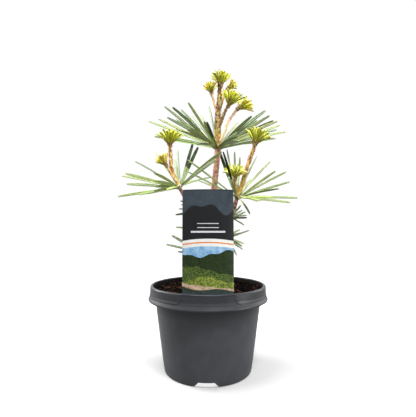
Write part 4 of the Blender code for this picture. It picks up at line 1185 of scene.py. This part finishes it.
for number, (name, tuft) in enumerate(TUFTS.items()):
    piece = grow_tuft(name, tuft, random.Random(100 + number))
    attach(piece, "root")
    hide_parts(name)


# Long needles: two grown together, so each is a flat leathery blade with a furrow down both
# faces and a notch in the blunt tip. They stand in whorls like an umbrella's ribs, dark and
# waxy above, with a pale band of pores in the lower furrow.
LONG_SHADES = {"light": ("#91955a", "#acb07b"), "fresh": ("#7f9042", "#a1ac69"),
               "mid": ("#6f843a", "#9aa966"), "grey": ("#7c8563", "#9fa686"),
               "deep": ("#465a2b", "#6d7f48"), "shade": ("#2e3a20", "#526347")}
long_names = list(LONG_SHADES)
# Needles in the shade of others hardly shine.
long_finishes = [leaf_finish(name + "_long_" + part, shade, rough, 0.15 if name == "shade" else 0.5)
                 for name, pair in LONG_SHADES.items()
                 for part, shade, rough in zip(("needle", "furrow"), pair, (0.38, 0.45))]
PORE_BAND, LONG_FOOT, WHORL_SCALE, PAPERY_SCALE = range(len(long_finishes), len(long_finishes) + 4)
long_finishes += [leaf_finish("pore_band", "#8c967c", 0.6),
                  leaf_finish("long_needle_foot", "#6b7440", 0.55),
                  leaf_finish("whorl_scale", "#7a6b42", 0.65),
                  leaf_finish("papery_scale", "#c9bda6", 0.7)]
LONG_SECTION = ((-1.0, 0.0), (-0.82, 0.7), (-0.3, 0.85), (0.0, 0.35), (0.3, 0.85), (0.82, 0.7),
                (1.0, 0.0), (0.8, -0.7), (0.28, -0.8), (0.0, -0.3), (-0.28, -0.8), (-0.8, -0.7))
LONG_OUTLINE = ((0.0, 0.34), (0.06, 0.42), (0.2, 0.64), (0.4, 0.88), (0.62, 1.0), (0.82, 0.95),
                (0.95, 0.72), (1.0, 0.45))
LONG_FURROW_SIDES = (2, 3)
PORE_SIDES = (8, 9)
LONG_THICKNESS = 1.25 * MM
NOTCH = 0.5 * MM
LONG_WARP = 0.01
SEEN_ROLL = (15, 45)                # degrees that a needle of the front view turns on itself
SPARE_ROLL = (20, 55)
NEEDLE_HALF_WIDTH = 1.8 * MM        # the room that a needle claims, less towards its foot
FOOT_ROOM = 0.6
LEAST_DEPTH = 0.1                   # share of its length by which each leans back or forth
ROOT_RISE = 1.1 * MM
ROOT_FOOT = 6.0 * MM
ROOT_SCATTER = 0.3
NEEDLE_ARCH = 0.02
SHIFTS = (0, 5, -5, 10, -10, 16, -16, 24, -24)      # mm to the back that are tried for a free place
SPARE_STRIDE = 5                    # the next spare needle follows the fifth seen one from there
SPARE_SWAY = 5.0                    # within so many degrees
SPARE_FRONT = 3                     # and every third stands at the front
COLLAR_ROOM = 2.4 * MM
COLLAR_SIDES = 24
COLLAR_PROFILE = ((-1.1, 0.1), (-0.7, 0.8), (-0.2, 1.3), (0.3, 1.4), (0.7, 1.0), (1.1, 0.1))
# Each needle that the front view shows is a bearing in degrees, a reach in mm across the
# view, and 1 where it leans to the back or -1 to the front. The spare needles close the ring
# at the back and front: count, least and greatest share of the reach of a seen one. Mirrored
# whorls put every second spare needle at the other side. Named by bearing: needles in the
# shade of others, broad ones that face the front, tints other than the drawn ones, and
# stoutness. Deepened is the share of needles that grow darker outwards. Lit needles turn their
# upper side to the front.
WHORLS = {
    "whorl_main": dict(
        carrier="trunk", height=319, length=105, collar=7.0, spare=(22, 0.3, 0.8), width=4.7,
        shades="fresh fresh light light mid grey deep",
        shaded=(113, 26), deepened=0.25, lit=True, broad=(142, 134, 138, 146, 43, 38, 32, 24),
        tints={170: "mid", 171: "mid", 159: "mid", 13: "fresh", 9: "mid", 102: "deep", 118: "mid"},
        stout={113: 0.8},
        seen=((159, 111, 1), (154, 99, -1), (142, 102, 1), (149, 89, -1), (134, 80, 1),
              (123, 82, -1), (118, 56, 1), (102, 64, 1), (113, 42, -1), (170, 96, 1),
              (171, 72, 1), (51, 49, 1), (43, 70, -1), (38, 91, 1), (32, 92, -1),
              (26, 93, 1), (24, 98, 1), (20, 99, 1), (17, 92, 1), (13, 104, 1),
              (9, 88, 1), (146, 76, 1), (138, 92, -1), (35, 72, 1))),
    "whorl_left": dict(
        carrier="bough_left", height=257.6, length=90, collar=6.0, spare=(16, 0.3, 0.8), width=4.4,
        shades="light light light fresh fresh grey", shaded=(73, 65), lit=True, broad=(40, 65, 73),
        tints={93: "deep", 99: "mid", 73: "mid", 65: "mid", 40: "fresh", 37: "mid", 17: "mid",
               150: "deep", 125: "fresh", -171: "fresh", -169: "mid", 177: "mid", 169: "fresh",
               166: "fresh"},
        stout={65: 1.35, 73: 1.1, 40: 0.9, 37: 1.1, 150: 0.75, 17: 0.8},
        seen=((-171, 89, 1), (-169, 59, -1), (177, 76, -1), (169, 84, 1), (166, 80, -1),
              (150, 74, 1), (125, 61, 1), (93, 54, 1), (99, 40, 1), (73, 67, 1),
              (65, 64, 1), (40, 80, -1), (37, 66, -1), (17, 49, 1))),
    "whorl_right": dict(
        carrier="bough_right", height=242.7, length=88, collar=6.0, spare=(16, 0.3, 0.8), width=3.6,
        shades="light light light fresh", shaded=(111, 107), lit=True, broad=(111, 107, 27),
        tints={111: "mid", 107: "fresh", 102: "grey", 143: "fresh", 153: "mid", 93: "deep", 86: "mid",
               64: "fresh", 47: "light", 34: "fresh", 27: "fresh", 16: "mid", -1: "mid", -6: "fresh",
               -54: "mid"},
        stout={111: 1.3, 107: 1.0, 143: 0.85, 153: 0.85, 64: 0.85},
        seen=((111, 68, 1), (107, 68, -1), (102, 70, 1), (143, 89, -1), (153, 80, -1),
              (93, 65, 1), (86, 57, 1), (64, 65, 1), (47, 70, 1), (34, 66, -1), (27, 79, 1),
              (16, 78, -1), (-1, 86, 1), (-6, 76, -1), (-13, 30, 1), (-54, 30, 1))),
    "whorl_old_high": dict(
        carrier="trunk", height=222, length=58, collar=5.0, spare=(12, 0.25, 0.6),
        mirrored=True, width=3.8, shades="mid grey deep grey",
        seen=((160, 50, 1), (166, 47, -1), (174, 49, 1), (-176, 54, -1))),
    "whorl_old_middle": dict(
        carrier="trunk", height=193, length=56, collar=5.0, spare=(12, 0.25, 0.6),
        mirrored=True, width=4.0, shades="mid grey deep grey",
        seen=((172, 51, 1), (-172, 40, 1))),
    "whorl_old_low": dict(
        carrier="trunk", height=159, length=64, collar=5.0, spare=(10, 0.25, 0.55),
        mirrored=True, width=4.4, shades="mid grey deep grey",
        seen=((152, 61, 1), (166, 64, -1), (174, 45, 1))),
    "whorl_bough_right": dict(
        carrier="bough_right", height=214.6, length=30, collar=4.5, spare=(8, 0.3, 0.8), width=3.0,
        shades="mid grey deep fresh", shaded=(-3,),
        seen=((50, 22, -1), (32, 19, 1), (20, 22, -1), (6, 23, 1), (-3, 23, -1),
              (-32, 22, -1))),
    "whorl_twig_low_right": dict(
        carrier="twig_low_right", height=185.5, length=36, collar=4.0, spare=(7, 0.3, 0.8), width=3.0,
        shades="mid grey deep fresh",
        seen=((17, 34, -1), (30, 22, 1), (-21, 27, 1), (-31, 26, -1), (-38, 29, 1),
              (-62, 30, -1))),
}


def seen_tip(centre, bearing, reach, depth):
    """The point that shows at a bearing and reach from a centre, moved back by a depth."""
    a = math.radians(bearing)
    flat = centre + reach * Vector((math.cos(a), 0, math.sin(a)))
    return EYE + (flat - EYE) * ((flat.y + depth - EYE.y) / (flat.y - EYE.y))


def whorl_lines(name, whorl, chance):
    """Root, middle and tip of each needle of a whorl, with the bearing of those that show."""
    centre, direction, radius = limb_at(whorl["carrier"], whorl["height"] * MM)
    length = whorl["length"] * MM
    half_height = 0.5 * whorl["collar"] * MM
    lines = []

    def try_tip(tip, bearing):
        level = ROOT_SCATTER * half_height * math.sin(len(lines) * GOLDEN_ANGLE)
        outward = tip - centre
        outward -= outward.dot(direction) * direction
        root = centre + outward.normalized() * (radius + ROOT_RISE) + level * direction
        middle = 0.5 * (root + tip) + Vector((0, 0, NEEDLE_ARCH * (tip - root).length))
        free = root + (middle - root).normalized() * ROOT_FOOT
        if not is_clear((name,), [(free, middle)], FOOT_ROOM * NEEDLE_HALF_WIDTH):
            return False
        if not is_clear((name,), [(middle, tip)], NEEDLE_HALF_WIDTH):
            return False
        if not is_clear((name, whorl["carrier"]), [(free, middle)], NEEDLE_HALF_WIDTH):
            return False
        lines.append(((root, middle, tip), bearing))
        return True

    def seen_depth(size, reach):
        return math.sqrt(max(size ** 2 - reach ** 2, (LEAST_DEPTH * length) ** 2))

    for bearing, reach, leaning in whorl["seen"]:
        depth = leaning * seen_depth(length * chance.uniform(0.92, 1.0), reach * MM)
        for shift in SHIFTS:
            if try_tip(seen_tip(centre, bearing, reach * MM, depth + shift * MM), bearing):
                break

    spare, least, greatest = whorl["spare"]
    for i in range(spare):
        bearing, reach, _ = whorl["seen"][i * SPARE_STRIDE % len(whorl["seen"])]
        if whorl.get("mirrored") and i % 2:
            bearing = 180 - bearing
        bearing += chance.uniform(-SPARE_SWAY, SPARE_SWAY)
        reach *= chance.uniform(least, greatest) * MM
        depth = seen_depth(length * chance.uniform(0.8, 0.98), reach)
        try_tip(seen_tip(centre, bearing, reach, depth if i % SPARE_FRONT else -depth), None)
    take(name, [pair for line, _ in lines for pair in zip(line, line[1:])], NEEDLE_HALF_WIDTH)
    take(name, [(centre - half_height * direction, centre + half_height * direction)],
         radius + COLLAR_ROOM)
    return lines


def grow_whorl(name, whorl, seed):
    """The needles of a whorl on their swollen collar, with the small scales at their feet."""
    chance = random.Random(seed + 1000)
    centre, direction, radius = limb_at(whorl["carrier"], whorl["height"] * MM)
    half_height = 0.5 * whorl["collar"] * MM
    side, back = round_frame(direction)
    points = []
    for along, grow in COLLAR_PROFILE:
        for a in turns(COLLAR_SIDES):
            size = radius + (grow + 0.25 * math.sin(5 * a + along)) * MM
            points.append(centre + along * half_height * direction + size * aside(a, side, back))
    faces = tube(0, COLLAR_SIDES, len(COLLAR_PROFILE))
    slots = [PAPERY_SCALE if name == "whorl_left" else WHORL_SCALE] * len(faces)
    for i in range(round(3 * radius / MM)):
        turn = i * GOLDEN_ANGLE
        out = aside(turn, side, back)
        foot = centre + (radius + 0.9 * MM) * out - chance.uniform(0.1, 1.0) * half_height * direction
        add_scale(points, faces, slots, foot, (direction + 0.7 * out).normalized(), out,
                  chance.uniform(3.0, 5.0) * MM, 2.4 * MM, 0.8 * MM,
                  PAPERY_SCALE if name == "whorl_left" and i % 2 else LONG_FOOT, WHORL_SCALE)
    for line, bearing in whorl_lines(name, whorl, random.Random(seed)):
        drawn = chance.choice(whorl["shades"].split())
        shade = 2 * long_names.index(whorl.get("tints", {}).get(bearing, drawn))
        deepened = chance.random() < whorl.get("deepened", 0.0)
        outer_shade = 2 * long_names.index("deep") if deepened else shade
        if bearing in whorl.get("shaded", ()):
            outer_shade = 2 * long_names.index("shade")

        def slot_of(ring, k, shade=shade, outer_shade=outer_shade):
            if ring == 0:
                return LONG_FOOT
            own = shade if ring < 3 else outer_shade
            if k in PORE_SIDES and own == shade:
                return PORE_BAND
            return own + 1 if k in LONG_FURROW_SIDES else own

        sway = Vector((chance.uniform(-1, 1), chance.uniform(-1, 1), chance.uniform(-1, 0.4)))
        bent = (line[0], line[1] + LONG_WARP * (line[2] - line[0]).length * sway, line[2])
        width = whorl["width"] * whorl.get("stout", {}).get(bearing, 1.0) * chance.uniform(0.85, 1.1) * MM
        heading = (bent[2] - bent[0]).normalized()
        facing = heading.cross(EYE - bent[1])
        if bearing is None:
            flat = rolled(direction.cross(heading), heading, *SPARE_ROLL, chance)
        elif bearing in whorl.get("broad", ()):
            flat = facing
        else:
            flat = rolled(facing, heading, *SEEN_ROLL, chance)
            seen_side = flat.cross(heading)
            if whorl.get("lit") and seen_side.dot(EYE - bent[1]) * seen_side.z < 0:
                flat = 2 * flat.project(facing) - flat
        blade(points, faces, slots, bent, LONG_OUTLINE, LONG_SECTION, width, LONG_THICKNESS, flat,
              slot_of, notch=NOTCH)
    return make(name.replace("whorl", "long_needles"), points, faces, long_finishes, slots, sharp=50.0)


for number, (name, whorl) in enumerate(WHORLS.items()):
    piece = grow_whorl(name, whorl, 200 + number)
    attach(piece, "root")
    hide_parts(name)
